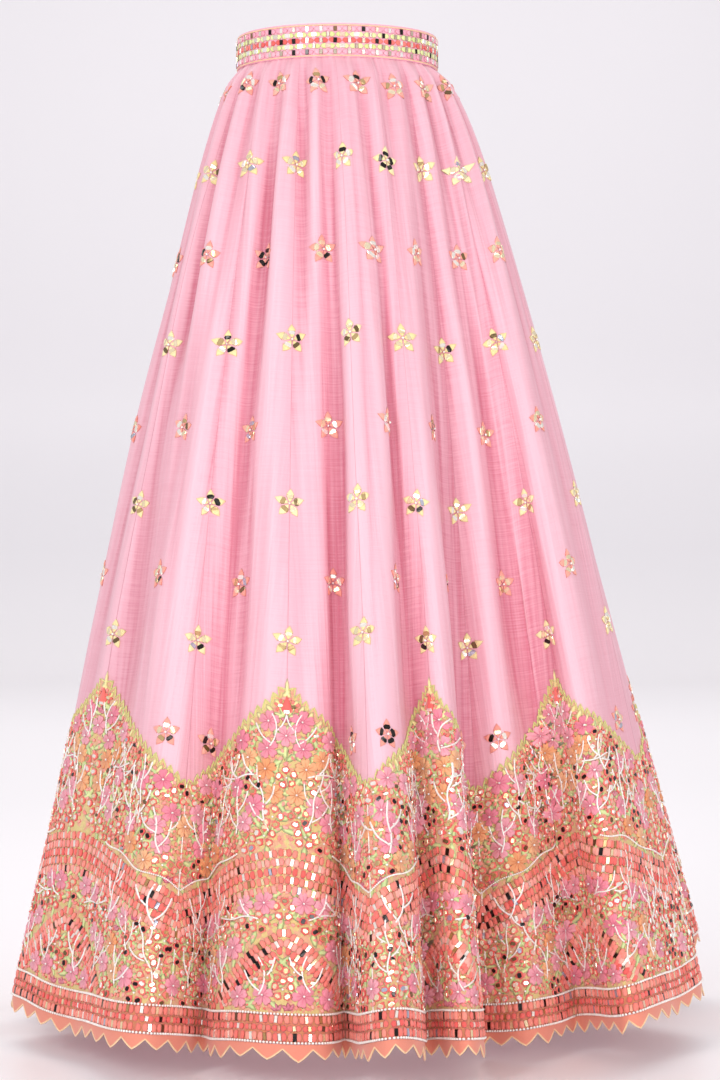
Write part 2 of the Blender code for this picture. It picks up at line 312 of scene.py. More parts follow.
def link_finish(tree, shader, **varied):
    """Gives the shader the values that vary over the surface."""
    for key, value in varied.items():
        tree.links.new(value, shader.inputs[key.replace("_", " ")])


def finish_of(name, **constants):
    """A new material with its Principled shader, whose even values are set on its own sockets."""
    made = bpy.data.materials.new(name)
    made.use_nodes = True
    shader = made.node_tree.nodes["Principled BSDF"]
    for key, value in constants.items():
        shader.inputs[key.replace("_", " ")].default_value = value
    return made, made.node_tree, shader


def make_group(name, inputs, outputs):
    """A shader node group with its named inputs and outputs."""
    tree = bpy.data.node_groups.new(name, "ShaderNodeTree")
    for key, kind, value in inputs:
        socket = tree.interface.new_socket(key, in_out="INPUT", socket_type=kind)
        if value is not None:
            socket.default_value = value
    for key, kind in outputs:
        tree.interface.new_socket(key, in_out="OUTPUT", socket_type=kind)
    return tree, tree.nodes.new("NodeGroupInput").outputs, tree.nodes.new("NodeGroupOutput").inputs


# Uneven yarn: long thick and thin threads across the cloth and soft streaks down it
slub_group, given, result = make_group("slub_yarn", [
    ("Metres", "NodeSocketVector", None), ("Yarn length", "NodeSocketFloat", 18.0),
    ("Yarns per metre", "NodeSocketFloat", 620.0)],
    [("Yarn", "NodeSocketFloat"), ("Streak", "NodeSocketFloat")])
stretch = add(slub_group, "ShaderNodeCombineXYZ", {"X": given["Yarn length"],
                                                   "Y": given["Yarns per metre"]})
across = add(slub_group, "ShaderNodeVectorMath", {0: given["Metres"], 1: stretch.outputs[0]},
             operation="MULTIPLY")
yarn = add(slub_group, "ShaderNodeTexNoise", {"Vector": across.outputs[0], "Scale": 1.0, "Detail": 3.0,
                                              "Roughness": 0.62})
lengthways = add(slub_group, "ShaderNodeVectorMath", {0: given["Metres"], 1: (170.0, 5.0, 1.0)},
                 operation="MULTIPLY")
streak = add(slub_group, "ShaderNodeTexNoise", {"Vector": lengthways.outputs[0], "Scale": 1.0,
                                                "Detail": 2.0})
slub_group.links.new(yarn.outputs["Fac"], result["Yarn"])
slub_group.links.new(streak.outputs["Fac"], result["Streak"])


def silk_finish(name, light, middle, deep, sewn=False, **constants):
    """Dupion silk: slubs across and soft streaks down; when sewn, a painted highlight on its ridges, painted
    shade in its creases and a line at each seam.
    """
    made, tree, shader = finish_of(name, **constants)
    place = add(tree, "ShaderNodeUVMap", uv_map="cloth_metres")
    slub = add(tree, "ShaderNodeGroup", {"Metres": place.outputs[0]}, node_tree=slub_group)
    yarn, streak = slub.outputs["Yarn"], slub.outputs["Streak"]
    # When sewn, the ridge layer is the painted fold shade: it lightens the ridges and deepens the creases.
    ridge = named_layer(tree, "ridge")["Fac"] if sewn else streak
    blend = reckon(tree, "MULTIPLY", yarn, 0.26)
    blend = reckon(tree, "MULTIPLY_ADD", streak, 0.34, blend)
    blend = reckon(tree, "MULTIPLY_ADD", ridge, 0.38, blend)
    shown = graded(tree, blend, [(0.27, deep), (0.46, middle), (0.66, light)])
    if sewn:
        line = rescaled(tree, named_layer(tree, "seam")["Fac"], 0.84, 1.0, 0.0, 0.55)
        shown = mixed(tree, line, shown, tint(190, 108, 124))
    streaked = relief(tree, streak, 0.45, 0.0028)
    link_finish(tree, shader, Base_Color=shown, Roughness=rescaled(tree, yarn, 0.3, 0.7, 0.36, 0.48),
                Normal=relief(tree, yarn, 0.35, 0.0004, Normal=streaked))
    return made


# This silk's deep colour shows where the painted shade in its creases is strongest, and its light colour where
# the painted highlight on its ridges is.
silk = silk_finish("silk_pink", (242, 190, 202), (235, 171, 185), (209, 119, 138), sewn=True,
                   Sheen_Weight=0.18, Sheen_Roughness=0.35, Sheen_Tint=tint(255, 218, 228),
                   Specular_IOR_Level=0.36, Anisotropic=0.3)
lining = silk_finish("lining_pink", (244, 196, 206), (242, 190, 201), (239, 184, 196),
                     Specular_IOR_Level=0.25)

smooth_cloth = hang_cloth()
cloth = smooth_cloth + outward(smooth_cloth) * crease_depths(7)[..., None]
facing = outward(cloth)


def crests(share):
    """How far each point of the cloth stands out from its neighbours, against what is usual there."""
    flat = cloth[:, :, 0] + 1j * cloth[:, :, 1]
    reach = ((flat - evened(flat, share)) * np.conj(facing[:, :, 0] + 1j * facing[:, :, 1])).real
    return reach / np.maximum(reach.std(axis=1, keepdims=True), 0.0002)


# Painted fold shade: each point of the silk is lightened the more it stands out from its neighbours and
# deepened the more it lies in a crease, over three widths, and less near the waist.
gathered = np.interp(np.linspace(0.0, CLOTH_END, DOWN + 1), (0.0, 0.12, 0.45), (0.4, 0.6, 1.0))[:, None]
painted_fold_shade = 0.14 * crests(0.003) + 0.13 * crests(0.008) + 0.08 * crests(0.022)
painted_fold_shade = np.clip(0.5 + painted_fold_shade * gathered, 0.0, 1.0)


def kali_columns(index, count):
    """Column shares across one kali, closer together where the cloth turns sharply."""
    u = (index + np.linspace(0.0, 1.0, 241)) / KALI_COUNT
    low = read_grid(smooth_cloth, u, np.full_like(u, 0.9))
    step = np.diff(low[:, :2], axis=0)
    heading = np.unwrap(np.arctan2(step[:, 1], step[:, 0]))
    run = np.linalg.norm(step, axis=1)
    bend = np.abs(np.gradient(heading)) / run
    total = np.r_[0.0, np.cumsum(run * (1.0 + 0.012 * np.minimum(bend, 110.0)))]
    return np.interp(np.linspace(0.0, total[-1], count + 1), total, u)


for i in range(KALI_COUNT):
    u, v = np.meshgrid(kali_columns(i, KALI_COLUMNS), np.linspace(0.0, 1.0, KALI_ROWS))
    inset = np.zeros_like(u)
    inset[:, 0], inset[:, -1] = SEAM_INSET, -SEAM_INSET
    piece = sewn_shell(f"silk_kali_{i + 1:02d}", on_cloth(u + inset, v, -SILK_WALL),
                       on_cloth(u + inset, v, 0.0),
                       cloth_metres(u, v, (i + 0.5) / KALI_COUNT) + (0.37 * i, 0.0), silk, lining)
    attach(piece, "root")
    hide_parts(f"kali_{i + 1:02d}")
    seam = np.zeros_like(u)
    seam[:, [0, -1]] = 1.0
    # Each kali keeps the painted fold shade as its ridge layer, beside its seam line.
    for key, values in (("ridge", read_grid(painted_fold_shade[..., None], u, v)[..., 0]), ("seam", seam)):
        layer = piece.data.attributes.new(key, "FLOAT", "POINT")
        layer.data.foreach_set("value", np.tile(values.ravel(), 2).astype(np.float32))


# Border ground
# The embroidered border is worked on its own strip of peach and lime threads laid on the silk,
# one for each pair of kalis. Its upper edge rises to a peak and is cut in small leafy scallops.
BORDER_COUNT = 9
GROUND_LIFT = 0.0002
GROUND_WALL = 0.0007
SCALLOP_PITCH = 0.0105
SCALLOP_DEPTH = 0.0074
SCALLOP_STEPS = 4

# Border outline from its peak to its valley: share of the kali, height above the hem
BORDER_OUTLINE = [(0.00, 0.351), (0.05, 0.342), (0.13, 0.331), (0.34, 0.309), (0.55, 0.289),
                  (0.82, 0.263), (1.00, 0.245)]

# Share of the strip's way down from its edge, at each row of its grid
GROUND_ROWS = [0.0, 0.035, 0.10, 0.21, 0.34, 0.47, 0.60, 0.74, 0.87, 0.998]


def kali_metres(height):
    """Width of one kali at a height above the hem."""
    return girth_at(1.0 - height / CLOTH_LENGTH) / KALI_COUNT


def scalloped_edge():
    """Along the upper edge: shares from the peak, height above the hem, and the cut edge's own two."""
    table = np.array(BORDER_OUTLINE)
    s = np.linspace(0.0, 1.0, 400)
    plain = np.interp(s, table[:, 0], table[:, 1])
    plain = np.convolve(np.pad(plain, 6, mode="reflect"), np.ones(13) / 13, mode="valid")
    width = kali_metres(plain)
    run = np.r_[0.0, np.cumsum(np.hypot(np.diff(s) * width[1:], np.diff(plain)))]
    lobes = round(run[-1] / SCALLOP_PITCH)
    here = np.linspace(0.0, run[-1], lobes * SCALLOP_STEPS + 1)
    lobe = (1.0 - np.abs(1.0 - 2.0 * np.mod(lobes * here / run[-1], 1.0))) ** 0.75 * SCALLOP_DEPTH
    share, height = np.interp(here, run, s), np.interp(here, run, plain)
    wide = np.interp(here, run, width)
    slope = np.gradient(height, share * wide)
    slope[[0, -1]] = 0.0
    stands = lobe / np.hypot(slope, 1.0)
    lean = np.clip(here / 0.012, 0.0, 1.0) * np.clip((run[-1] - here) / 0.012, 0.0, 1.0) * 0.6
    return share, height, share - (slope + lean) * stands / wide, height + (1.0 - slope * lean) * stands


# Close rows of embroidery thread, turning from patch to patch
thread_group, given, result = make_group("stitched_thread", [
    ("Metres", "NodeSocketVector", None), ("Patches per metre", "NodeSocketFloat", 170.0),
    ("Threads per metre", "NodeSocketFloat", 5200.0)],
    [("Thread", "NodeSocketFloat"), ("Patch", "NodeSocketFloat")])
patch = add(thread_group, "ShaderNodeTexVoronoi", {"Vector": given["Metres"],
                                                   "Scale": given["Patches per metre"]})
way = add(thread_group, "ShaderNodeSeparateColor", {0: patch.outputs["Color"]})
angle = reckon(thread_group, "MULTIPLY", way.outputs[0], 3.1416)
turned = add(thread_group, "ShaderNodeVectorRotate", {"Vector": given["Metres"], "Angle": angle},
             rotation_type="Z_AXIS")
split = add(thread_group, "ShaderNodeSeparateXYZ", {0: turned.outputs[0]})
count = reckon(thread_group, "MULTIPLY", split.outputs["X"], given["Threads per metre"])
wobble = add(thread_group, "ShaderNodeTexNoise", {"Vector": given["Metres"], "Scale": 260.0, "Detail": 2.0})
count = reckon(thread_group, "MULTIPLY_ADD", wobble.outputs["Fac"], 4.0, count)
count = reckon(thread_group, "SINE", count)
count = reckon(thread_group, "MULTIPLY_ADD", count, 0.5, 0.5)
thread_group.links.new(count, result["Thread"])
thread_group.links.new(way.outputs[1], result["Patch"])

ground_look, tree, shader = finish_of("ground_threads", Roughness=0.62, Specular_IOR_Level=0.35,
                                      Sheen_Weight=0.2, Sheen_Roughness=0.5)
place = add(tree, "ShaderNodeUVMap", uv_map="cloth_metres")
threads = add(tree, "ShaderNodeGroup", {"Metres": place.outputs[0]}, node_tree=thread_group)
thread = threads.outputs["Thread"]
broad = add(tree, "ShaderNodeTexNoise", {"Vector": place.outputs[0], "Scale": 24.0, "Detail": 3.0})
patches = reckon(tree, "MULTIPLY_ADD", threads.outputs["Patch"], 0.42, broad.outputs["Fac"])
shown = graded(tree, patches, [(0.0, (250, 196, 160)), (0.56, (244, 224, 150)), (0.68, (248, 176, 152)),
                               (0.75, (240, 228, 154)), (0.86, (250, 200, 166))], stepped=True)
# Painted shade: the grooves between the threads are darkened towards a deeper coral.
shown = mixed(tree, rescaled(tree, thread, 0.0, 0.6, 0.55, 0.0), shown, tint(226, 150, 104))
split = add(tree, "ShaderNodeSeparateXYZ", {0: place.outputs[0]})
under_band = rescaled(tree, split.outputs["Y"], 0.0292, 0.0300, 0.75, 0.0)
link_finish(tree, shader, Base_Color=mixed(tree, under_band, shown, tint(222, 112, 88)),
            Normal=relief(tree, thread, 0.8, 0.0006))

for i in range(BORDER_COUNT):
    share, plain, cut_share, cut = (np.r_[part[:0:-1], part] for part in scalloped_edge())
    side = np.r_[-np.ones(len(share) // 2), np.ones(len(share) // 2 + 1)]
    down = np.array(GROUND_ROWS)[:, None]
    near = np.maximum(1.0 - down / 0.1, 0.0)
    v = 1.0 - (plain * (1.0 - down) + (cut - plain) * near) / CLOTH_LENGTH
    u = (2 * i + 1 + side * (share + (cut_share - share) * near)) / KALI_COUNT
    u[:, 0] += SEAM_INSET
    u[:, -1] -= SEAM_INSET
    piece = sewn_shell(f"border_ground_{i + 1:02d}", on_cloth(u, v, GROUND_LIFT),
                       on_cloth(u, v, GROUND_LIFT + GROUND_WALL),
                       cloth_metres(u, v, (2 * i + 1) / KALI_COUNT) + (0.53 * i, 0.0), ground_look)
    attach(piece, "root")
    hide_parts(f"border_{i + 1:02d}")


# Toothed edging
# A strip of coral felt hangs below the hem, cut in pointed teeth about 30 mm apart. A cord of
# pale peach thread is whipped over its cut edge.
TEETH_PER_KALI = 7
TOOTH_NOTCH = 0.0052
TOOTH_TIP = 0.0158
TOOTH_ROUNDING = 0.006
EDGING_IN = -0.0008
EDGING_OUT = 0.0009
EDGING_ROWS = [0.02, 0.35, 0.7, 1.0]
PIPING_RADIUS = 0.00095
PIPING_INSET = 0.0004

fuzz_group, given, result = make_group("felt_fuzz", [
    ("Metres", "NodeSocketVector", None), ("Fibres per metre", "NodeSocketFloat", 900.0)],
    [("Fibre", "NodeSocketFloat")])
fibre = add(fuzz_group, "ShaderNodeTexNoise", {"Vector": given["Metres"], "Scale": given["Fibres per metre"],
                                               "Detail": 4.0, "Roughness": 0.7, "Distortion": 1.2})
fuzz_group.links.new(fibre.outputs["Fac"], result["Fibre"])


def felt_finish(name, dark, light, rim=None):
    """Felt or matt thread in two close shades, with a fibrous surface and painted shade in a deeper colour on
    its low sides, next to the cloth.
    """
    made, tree, shader = finish_of(name, Specular_IOR_Level=0.3, Sheen_Weight=0.35, Sheen_Roughness=0.5)
    place = add(tree, "ShaderNodeTexCoord")
    fuzz = add(tree, "ShaderNodeGroup", {"Metres": place.outputs["Object"]}, node_tree=fuzz_group)
    fibre = fuzz.outputs["Fibre"]
    share = reckon(tree, "MULTIPLY_ADD", fibre, 0.7, -0.25)
    share = reckon(tree, "MULTIPLY_ADD", named_layer(tree, "shade")["Fac"], 0.8, share)
    shown = mixed(tree, share, dark, light)
    # Painted shade: the rim colour darkens the low sides of each piece, next to the cloth.
    if rim:
        split = add(tree, "ShaderNodeSeparateXYZ", {0: named_layer(tree, "needle")["Vector"]})
        shown = mixed(tree, rescaled(tree, split.outputs["Z"], 0.0, 0.0011, 0.9, 0.0), shown, rim)
    link_finish(tree, shader, Base_Color=shown, Roughness=rescaled(tree, fibre, 0.0, 1.0, 0.55, 0.9),
                Normal=relief(tree, fibre, 0.5, 0.0004))
    return made


edging_felt = felt_finish("edging_felt", tint(230, 138, 116), tint(246, 176, 152))
peach_cord = felt_finish("peach_cord", tint(246, 196, 146), tint(254, 222, 178))


def cord_tree():
    """Geometry nodes that sweep a round cord along a line of points."""
    tree = bpy.data.node_groups.new("lay_cord", "GeometryNodeTree")
    for key, kind in (("Line", "Geometry"), ("Radius", "Float"), ("Sides", "Int"), ("Finish", "Material")):
        tree.interface.new_socket(key, in_out="INPUT", socket_type=f"NodeSocket{kind}")
    tree.interface.new_socket("Cord", in_out="OUTPUT", socket_type="NodeSocketGeometry")
    given = add(tree, "NodeGroupInput").outputs
    curve = add(tree, "GeometryNodeMeshToCurve", {"Mesh": given["Line"]})
    ring = add(tree, "GeometryNodeCurvePrimitiveCircle",
               {"Resolution": given["Sides"], "Radius": given["Radius"]}, mode="RADIUS")
    swept = add(tree, "GeometryNodeCurveToMesh", {"Curve": curve.outputs[0], "Profile Curve": ring.outputs[0],
                                                  "Fill Caps": True})
    smooth = add(tree, "GeometryNodeSetShadeSmooth", {"Geometry": swept.outputs[0]})
    whole = add(tree, "GeometryNodeRealizeInstances", {"Geometry": smooth.outputs[0]})
    dressed = add(tree, "GeometryNodeSetMaterial", {"Geometry": whole.outputs[0],
                                                    "Material": given["Finish"]})
    leaving = add(tree, "NodeGroupOutput")
    tree.links.new(dressed.outputs[0], leaving.inputs[0])
    return tree


def run_tree(name, base, tree, values):
    """The plain mesh that a geometry tree makes from a base mesh and its named values."""
    carrier = bpy.data.objects.new(name, base)
    bpy.context.scene.collection.objects.link(carrier)
    modifier = carrier.modifiers.new("made", "NODES")
    modifier.node_group = tree
    for item in tree.interface.items_tree:
        if item.in_out == "INPUT" and item.name in values:
            modifier[item.identifier] = values[item.name]
    ready = carrier.evaluated_get(bpy.context.evaluated_depsgraph_get())
    mesh = bpy.data.meshes.new_from_object(ready)
    mesh.name = name
    bpy.data.objects.remove(carrier, do_unlink=True)
    bpy.data.meshes.remove(base)
    return mesh


def keep_outside_out(mesh):
    """Turns the mesh's faces round if they point inwards."""
    mesh.calc_loop_triangles()
    points = np.zeros(len(mesh.vertices) * 3)
    mesh.vertices.foreach_get("co", points)
    corners = np.zeros(len(mesh.loop_triangles) * 3, dtype=int)
    mesh.loop_triangles.foreach_get("vertices", corners)
    tri = points.reshape(-1, 3)[corners.reshape(-1, 3)]
    if np.einsum("ij,ij->", tri[:, 0], np.cross(tri[:, 1], tri[:, 2])) < 0:
        mesh.flip_normals()


def place_piece(name, mesh):
    """A finished mesh as an object of the scene, riding on the skirt."""
    made = bpy.data.objects.new(name, mesh)
    bpy.context.scene.collection.objects.link(made)
    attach(made, "root")
    return made


laying = cord_tree()


def lay_cord(name, lines, radius, sides, look):
    """A round cord along one or more open lines of points."""
    base = bpy.data.meshes.new(name + "_line")
    starts = np.cumsum([0] + [len(line) for line in lines])
    edges = [(k, k + 1) for a, b in zip(starts, starts[1:]) for k in range(a, b - 1)]
    base.from_pydata(np.concatenate(lines).tolist(), edges, [])
    mesh = run_tree(name, base, laying, {"Radius": radius, "Sides": sides, "Finish": look})
    keep_outside_out(mesh)
    total = len(mesh.vertices)
    value = mesh.attributes.new("shade", "FLOAT", "POINT")
    value.data.foreach_set("value", np.random.default_rng(total).uniform(0.3, 0.7, total))
    return place_piece(name, mesh)


def tooth_depth(u):
    """How far the edging hangs below the hem line at each share round the skirt."""
    place = u * KALI_COUNT * TEETH_PER_KALI
    tooth = 1.0 - np.abs(np.mod(place, 1.0) * 2.0 - 1.0)
    tooth = 1.02 * (1.0 - np.sqrt((1.0 - tooth) ** 2 + TOOTH_ROUNDING)) / (1.0 - np.sqrt(TOOTH_ROUNDING))
    tooth = np.clip(tooth, 0.0, 1.0)
    uneven = 1.0 + 0.13 * np.sin(1.9 * np.floor(place)) + 0.07 * np.sin(4.3 * np.floor(place))
    return TOOTH_NOTCH + (TOOTH_TIP - TOOTH_NOTCH) * tooth * uneven


for i in range(BORDER_COUNT):
    edge_u = (2 * i + np.linspace(0.0, 2.0, 2 * TEETH_PER_KALI * 6 + 1)) / KALI_COUNT
    edge_u[0] += SEAM_INSET
    edge_u[-1] -= SEAM_INSET
    depth = tooth_depth(edge_u)
    v = 1.0 + depth * np.array(EDGING_ROWS)[:, None] / CLOTH_LENGTH
    u = np.broadcast_to(edge_u, v.shape)
    piece = sewn_shell(f"edging_strip_{i + 1:02d}", on_cloth(u, v, EDGING_IN), on_cloth(u, v, EDGING_OUT),
                       cloth_metres(u, v, (2 * i + 1) / KALI_COUNT), edging_felt)
    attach(piece, "root")
    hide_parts(f"hem_edging_{i + 1:02d}")
    line = on_cloth(edge_u, 1.0 + (depth - PIPING_INSET) / CLOTH_LENGTH, PIPING_INSET)
    cord = lay_cord(f"edging_piping_{i + 1:02d}", [line], PIPING_RADIUS, 6, peach_cord)


# Waistband
# A 36 mm band of stiffened pink silk, lapped at the centre back where it hooks shut, with a
# peach piping near each edge.
BAND_LAP = 0.040
BAND_TUCK = 0.0042
BAND_GIRTH = 0.625
BAND_STEPS = 160

# Down from the band's top edge, out from the waist line
BAND_SECTION = [(0.0, -0.0012), (0.0, 0.0006), (0.0030, 0.0010), (0.0050, 0.0010), (0.0180, 0.0011),
                (0.0330, 0.0010), (0.0352, 0.0010), (0.0360, 0.0006), (0.0360, -0.0012)]


def band_line(place, thick):
    """Points round the band at each share of its length, with its lapped end tucked under."""
    turn = np.pi + 2 * np.pi * place
    at = np.stack([WAIST_HALF_WIDTH * np.sin(turn), -WAIST_HALF_DEPTH * np.cos(turn)], axis=-1)
    out = np.stack([WAIST_HALF_DEPTH * np.sin(turn), -WAIST_HALF_WIDTH * np.cos(turn)], axis=-1)
    out /= np.linalg.norm(out, axis=-1, keepdims=True)
    ease = np.clip((place - 1.0) / (1.5 * BAND_LAP) + 1.0, 0.0, 1.0)
    tuck = BAND_TUCK * ease ** 2 * (3.0 - 2.0 * ease)
    return at + out * (thick - tuck)[..., None]


band_look = silk_finish("band_silk", (250, 186, 204), (247, 176, 196), (243, 165, 188),
                        Specular_IOR_Level=0.4)
place = np.linspace(0.0, 1.0 + BAND_LAP, BAND_STEPS + 1)
sides = len(BAND_SECTION)
rings = np.zeros((len(place), sides, 3))
for k, (below, thick) in enumerate(BAND_SECTION):
    rings[:, k, :2] = band_line(place, thick)
    rings[:, k, 2] = -below
faces = []
for i in range(BAND_STEPS):
    for k in range(sides):
        a, b = i * sides + k, i * sides + (k + 1) % sides
        faces.append((a, b, b + sides, a + sides))
last = BAND_STEPS * sides
faces += [tuple(reversed(range(sides))), tuple(last + k for k in range(sides))]
mesh = bpy.data.meshes.new("band_strip")
mesh.from_pydata(rings.reshape(-1, 3).tolist(), [], faces)
mesh.polygons.foreach_set("use_smooth", [True] * len(faces))
layer = mesh.uv_layers.new(name="cloth_metres")
corner = np.zeros(len(mesh.loops), dtype=int)
mesh.loops.foreach_get("vertex_index", corner)
metres = np.stack([np.repeat(place * BAND_GIRTH, sides), rings[:, :, 2].ravel()], axis=1)
layer.data.foreach_set("uv", metres[corner].astype(np.float32).ravel())
mesh.materials.append(band_look)
mesh.update()
keep_outside_out(mesh)
mesh.set_sharp_from_angle(angle=np.radians(45))
band = place_piece("band_strip", mesh)
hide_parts("waistband")

lines = []
for height in (-0.0022, -0.0346):
    ring = np.zeros((len(place), 3))
    ring[:, :2] = band_line(place, 0.0013)
    ring[:, 2] = height
    lines.append(ring)
band_piping = lay_cord("band_piping", lines, 0.00065, 6, peach_cord)


# Felt and mirror needlework
# Small felt petals, cut mirrors and thread flowers, each a separate bit sewn flat on the cloth.
# They are made once as flat shapes, repeated at their places and then laid on the folds.
def sewing_tree():
    """Geometry nodes that sew one shape at every place, turned and stretched as each asks."""
    tree = bpy.data.node_groups.new("sew_on", "GeometryNodeTree")
    for key, kind in (("Places", "Geometry"), ("Shape", "Object"), ("Size", "Float"), ("Uneven", "Float"),
                      ("Seed", "Int"), ("Finish", "Material")):
        tree.interface.new_socket(key, in_out="INPUT", socket_type=f"NodeSocket{kind}")
    tree.interface.new_socket("Sewn", in_out="OUTPUT", socket_type="NodeSocketGeometry")
    given = add(tree, "NodeGroupInput").outputs

    def read(name, kind):
        made = add(tree, "GeometryNodeInputNamedAttribute", {"Name": name}, data_type=kind)
        return next(s for s in made.outputs if s.enabled)

    shape = add(tree, "GeometryNodeObjectInfo", {"Object": given["Shape"]})
    vary = add(tree, "FunctionNodeRandomValue", {"Seed": given["Seed"]}, data_type="FLOAT")
    for key, operation in (("Min", "SUBTRACT"), ("Max", "ADD")):
        limit = next(s for s in vary.inputs if s.enabled and s.name == key)
        tree.links.new(reckon(tree, operation, 1.0, given["Uneven"]), limit)
    size = reckon(tree, "MULTIPLY", next(s for s in vary.outputs if s.enabled), given["Size"])
    scale = add(tree, "ShaderNodeVectorMath", {0: read("stretch", "FLOAT_VECTOR")}, operation="SCALE")
    tree.links.new(size, scale.inputs["Scale"])
    turn = add(tree, "ShaderNodeCombineXYZ", {"Z": read("turn", "FLOAT")})
    sewn = add(tree, "GeometryNodeInstanceOnPoints", {"Points": given["Places"], "Rotation": turn.outputs[0],
                                                      "Scale": scale.outputs[0]})
    tree.links.new(shape.outputs["Geometry"], sewn.inputs["Instance"])
    whole = add(tree, "GeometryNodeRealizeInstances", {"Geometry": sewn.outputs[0]})
    dressed = add(tree, "GeometryNodeSetMaterial", {"Geometry": whole.outputs[0],
                                                    "Material": given["Finish"]})
    leaving = add(tree, "NodeGroupOutput")
    tree.links.new(dressed.outputs[0], leaving.inputs[0])
    return tree


sewing = sewing_tree()
steps = np.linalg.norm(np.roll(cloth, -1, axis=1) - cloth, axis=2) * AROUND
metres_per_share = evened(steps, 0.0015).real[..., None]


def cloth_wrap(offset, anchor):
    """Points laid on the cloth: metres across, up and out from the anchor's shares."""
    u, v = anchor[:, 0], anchor[:, 1]
    scale = read_grid(metres_per_share, u, v)[:, 0]
    return on_cloth(u + offset[:, 0] / scale, v - offset[:, 1] / CLOTH_LENGTH, offset[:, 2])


def band_wrap(offset, anchor):
    """Points laid on the waistband: metres across, up and out from a share round it and a height."""
    at = band_line(anchor[:, 0] + offset[:, 0] / BAND_GIRTH, offset[:, 2] + 0.0010)
    return np.concatenate([at, (anchor[:, 1] + offset[:, 1])[:, None]], axis=1)


def spot(u, v, out=0.0, turn=0.0, across=0.0, up=0.0, wide=1.0, tall=1.0, shade=None):
    """Where one shape is sewn: its shares of the cloth, metres from there, turn, stretch and shade."""
    return u, v, across, up, out, turn, wide, tall, rng.random() if shade is None else shade


def sew(name, shape, spots, look, wrap=cloth_wrap, size=1.0, uneven=0.06, seed=1, smooth=True):
    """Repeats a flat shape at every spot and lays the result on the cloth or the band."""
    spots = np.array(spots, dtype=float)
    base = bpy.data.meshes.new(name + "_spots")
    base.from_pydata(spots[:, 2:5].tolist(), [], [])
    for key, kind, values in (("anchor", "FLOAT_VECTOR", np.c_[spots[:, :2], spots[:, 8]]),
                              ("turn", "FLOAT", spots[:, 5]),
                              ("stretch", "FLOAT_VECTOR", np.c_[spots[:, 6:8], np.ones(len(spots))])):
        layer = base.attributes.new(key, kind, "POINT")
        part = "vector" if kind == "FLOAT_VECTOR" else "value"
        layer.data.foreach_set(part, values.astype(np.float32).ravel())
    points, faces = shape
    flat = bpy.data.meshes.new(name + "_shape")
    flat.from_pydata(points, [], faces)
    needle = flat.attributes.new("needle", "FLOAT_VECTOR", "POINT")
    needle.data.foreach_set("vector", np.array(points, dtype=np.float32).ravel())
    carrier = bpy.data.objects.new(name + "_shape", flat)
    bpy.context.scene.collection.objects.link(carrier)
    mesh = run_tree(name, base, sewing, {"Shape": carrier, "Size": size, "Uneven": uneven, "Seed": seed,
                                         "Finish": look})
    bpy.data.objects.remove(carrier, do_unlink=True)
    bpy.data.meshes.remove(flat)
    total = len(mesh.vertices)
    offset, anchor = np.zeros(total * 3), np.zeros(total * 3, dtype=np.float32)
    mesh.vertices.foreach_get("co", offset)
    mesh.attributes["anchor"].data.foreach_get("vector", anchor)
    anchor = anchor.reshape(-1, 3).astype(float)
    value = mesh.attributes.new("shade", "FLOAT", "POINT")
    value.data.foreach_set("value", anchor[:, 2].astype(np.float32))
    mesh.vertices.foreach_set("co", wrap(offset.reshape(-1, 3), anchor).ravel())
    for key in ("anchor", "turn", "stretch"):
        if key in mesh.attributes:
            mesh.attributes.remove(mesh.attributes[key])
    mesh.polygons.foreach_set("use_smooth", [smooth] * len(mesh.polygons))
    mesh.update()
    return place_piece(name, mesh)


def side_faces(n):
    """Faces round a shape's side, between its outline and the ring above it."""
    return [(k, (k + 1) % n, n + (k + 1) % n, n + k) for k in range(n)]


def pad_shape(outline, height, crown=1.0, slope=0.86, centre=None):
    """A raised pad with sloping sides on a flat outline, closed below."""
    outline = np.array(outline, dtype=float)
    middle = outline.mean(axis=0) if centre is None else np.array(centre, dtype=float)
    inner = middle + (outline - middle) * slope
    n = len(outline)
    points = [(*p, 0.0) for p in outline] + [(*p, height) for p in inner] + [(*middle, height * crown)]
    faces = side_faces(n) + [(n + k, n + (k + 1) % n, 2 * n) for k in range(n)]
    return points, faces + [tuple(reversed(range(n)))]


def plate_shape(outline, height, slope=0.84):
    """A flat cut mirror with bevelled sides, closed below."""
    outline = np.array(outline, dtype=float)
    n = len(outline)
    middle = outline.mean(axis=0)
    points = [(*p, 0.0) for p in outline] + [(*(middle + (p - middle) * slope), height) for p in outline]
    return points, side_faces(n) + [tuple(range(n, 2 * n)), tuple(reversed(range(n)))]


def join_shapes(*shapes):
    """Several flat shapes as one."""
    points, faces = [], []
    for more_points, more_faces in shapes:
        faces += [tuple(k + len(points) for k in face) for face in more_faces]
        points += list(more_points)
    return points, faces


def turned_shape(shape, angle, up=0.0):
    """A shape moved up and then turned about the middle."""
    c, s = np.cos(angle), np.sin(angle)
    return [(c * x - s * (y + up), s * x + c * (y + up), z) for x, y, z in shape[0]], shape[1]


def five_round(*parts):
    """Shapes set out in five directions, each with how far out it stands."""
    return join_shapes(*[turned_shape(part, 2 * np.pi * k / 5, far) for k in range(5) for part, far in parts])


def bead_shape(radius, rings=3, sides=6):
    """A small round bead, its poles closed."""
    points = [(0.0, 0.0, 0.0)]
    for k in range(1, rings):
        tilt = np.pi * k / rings
        points += [(radius * np.sin(tilt) * np.cos(a), radius * np.sin(tilt) * np.sin(a),
                    radius * (1.0 - np.cos(tilt))) for a in np.linspace(0, 2 * np.pi, sides, endpoint=False)]
    points.append((0.0, 0.0, 2.0 * radius))
    top = len(points) - 1
    faces = [(0, 1 + (k + 1) % sides, 1 + k) for k in range(sides)]
    for r in range(rings - 2):
        a = 1 + r * sides
        faces += [(a + k, a + (k + 1) % sides, a + sides + (k + 1) % sides, a + sides + k)
                  for k in range(sides)]
    a = 1 + (rings - 2) * sides
    faces += [(a + k, a + (k + 1) % sides, top) for k in range(sides)]
    return points, faces


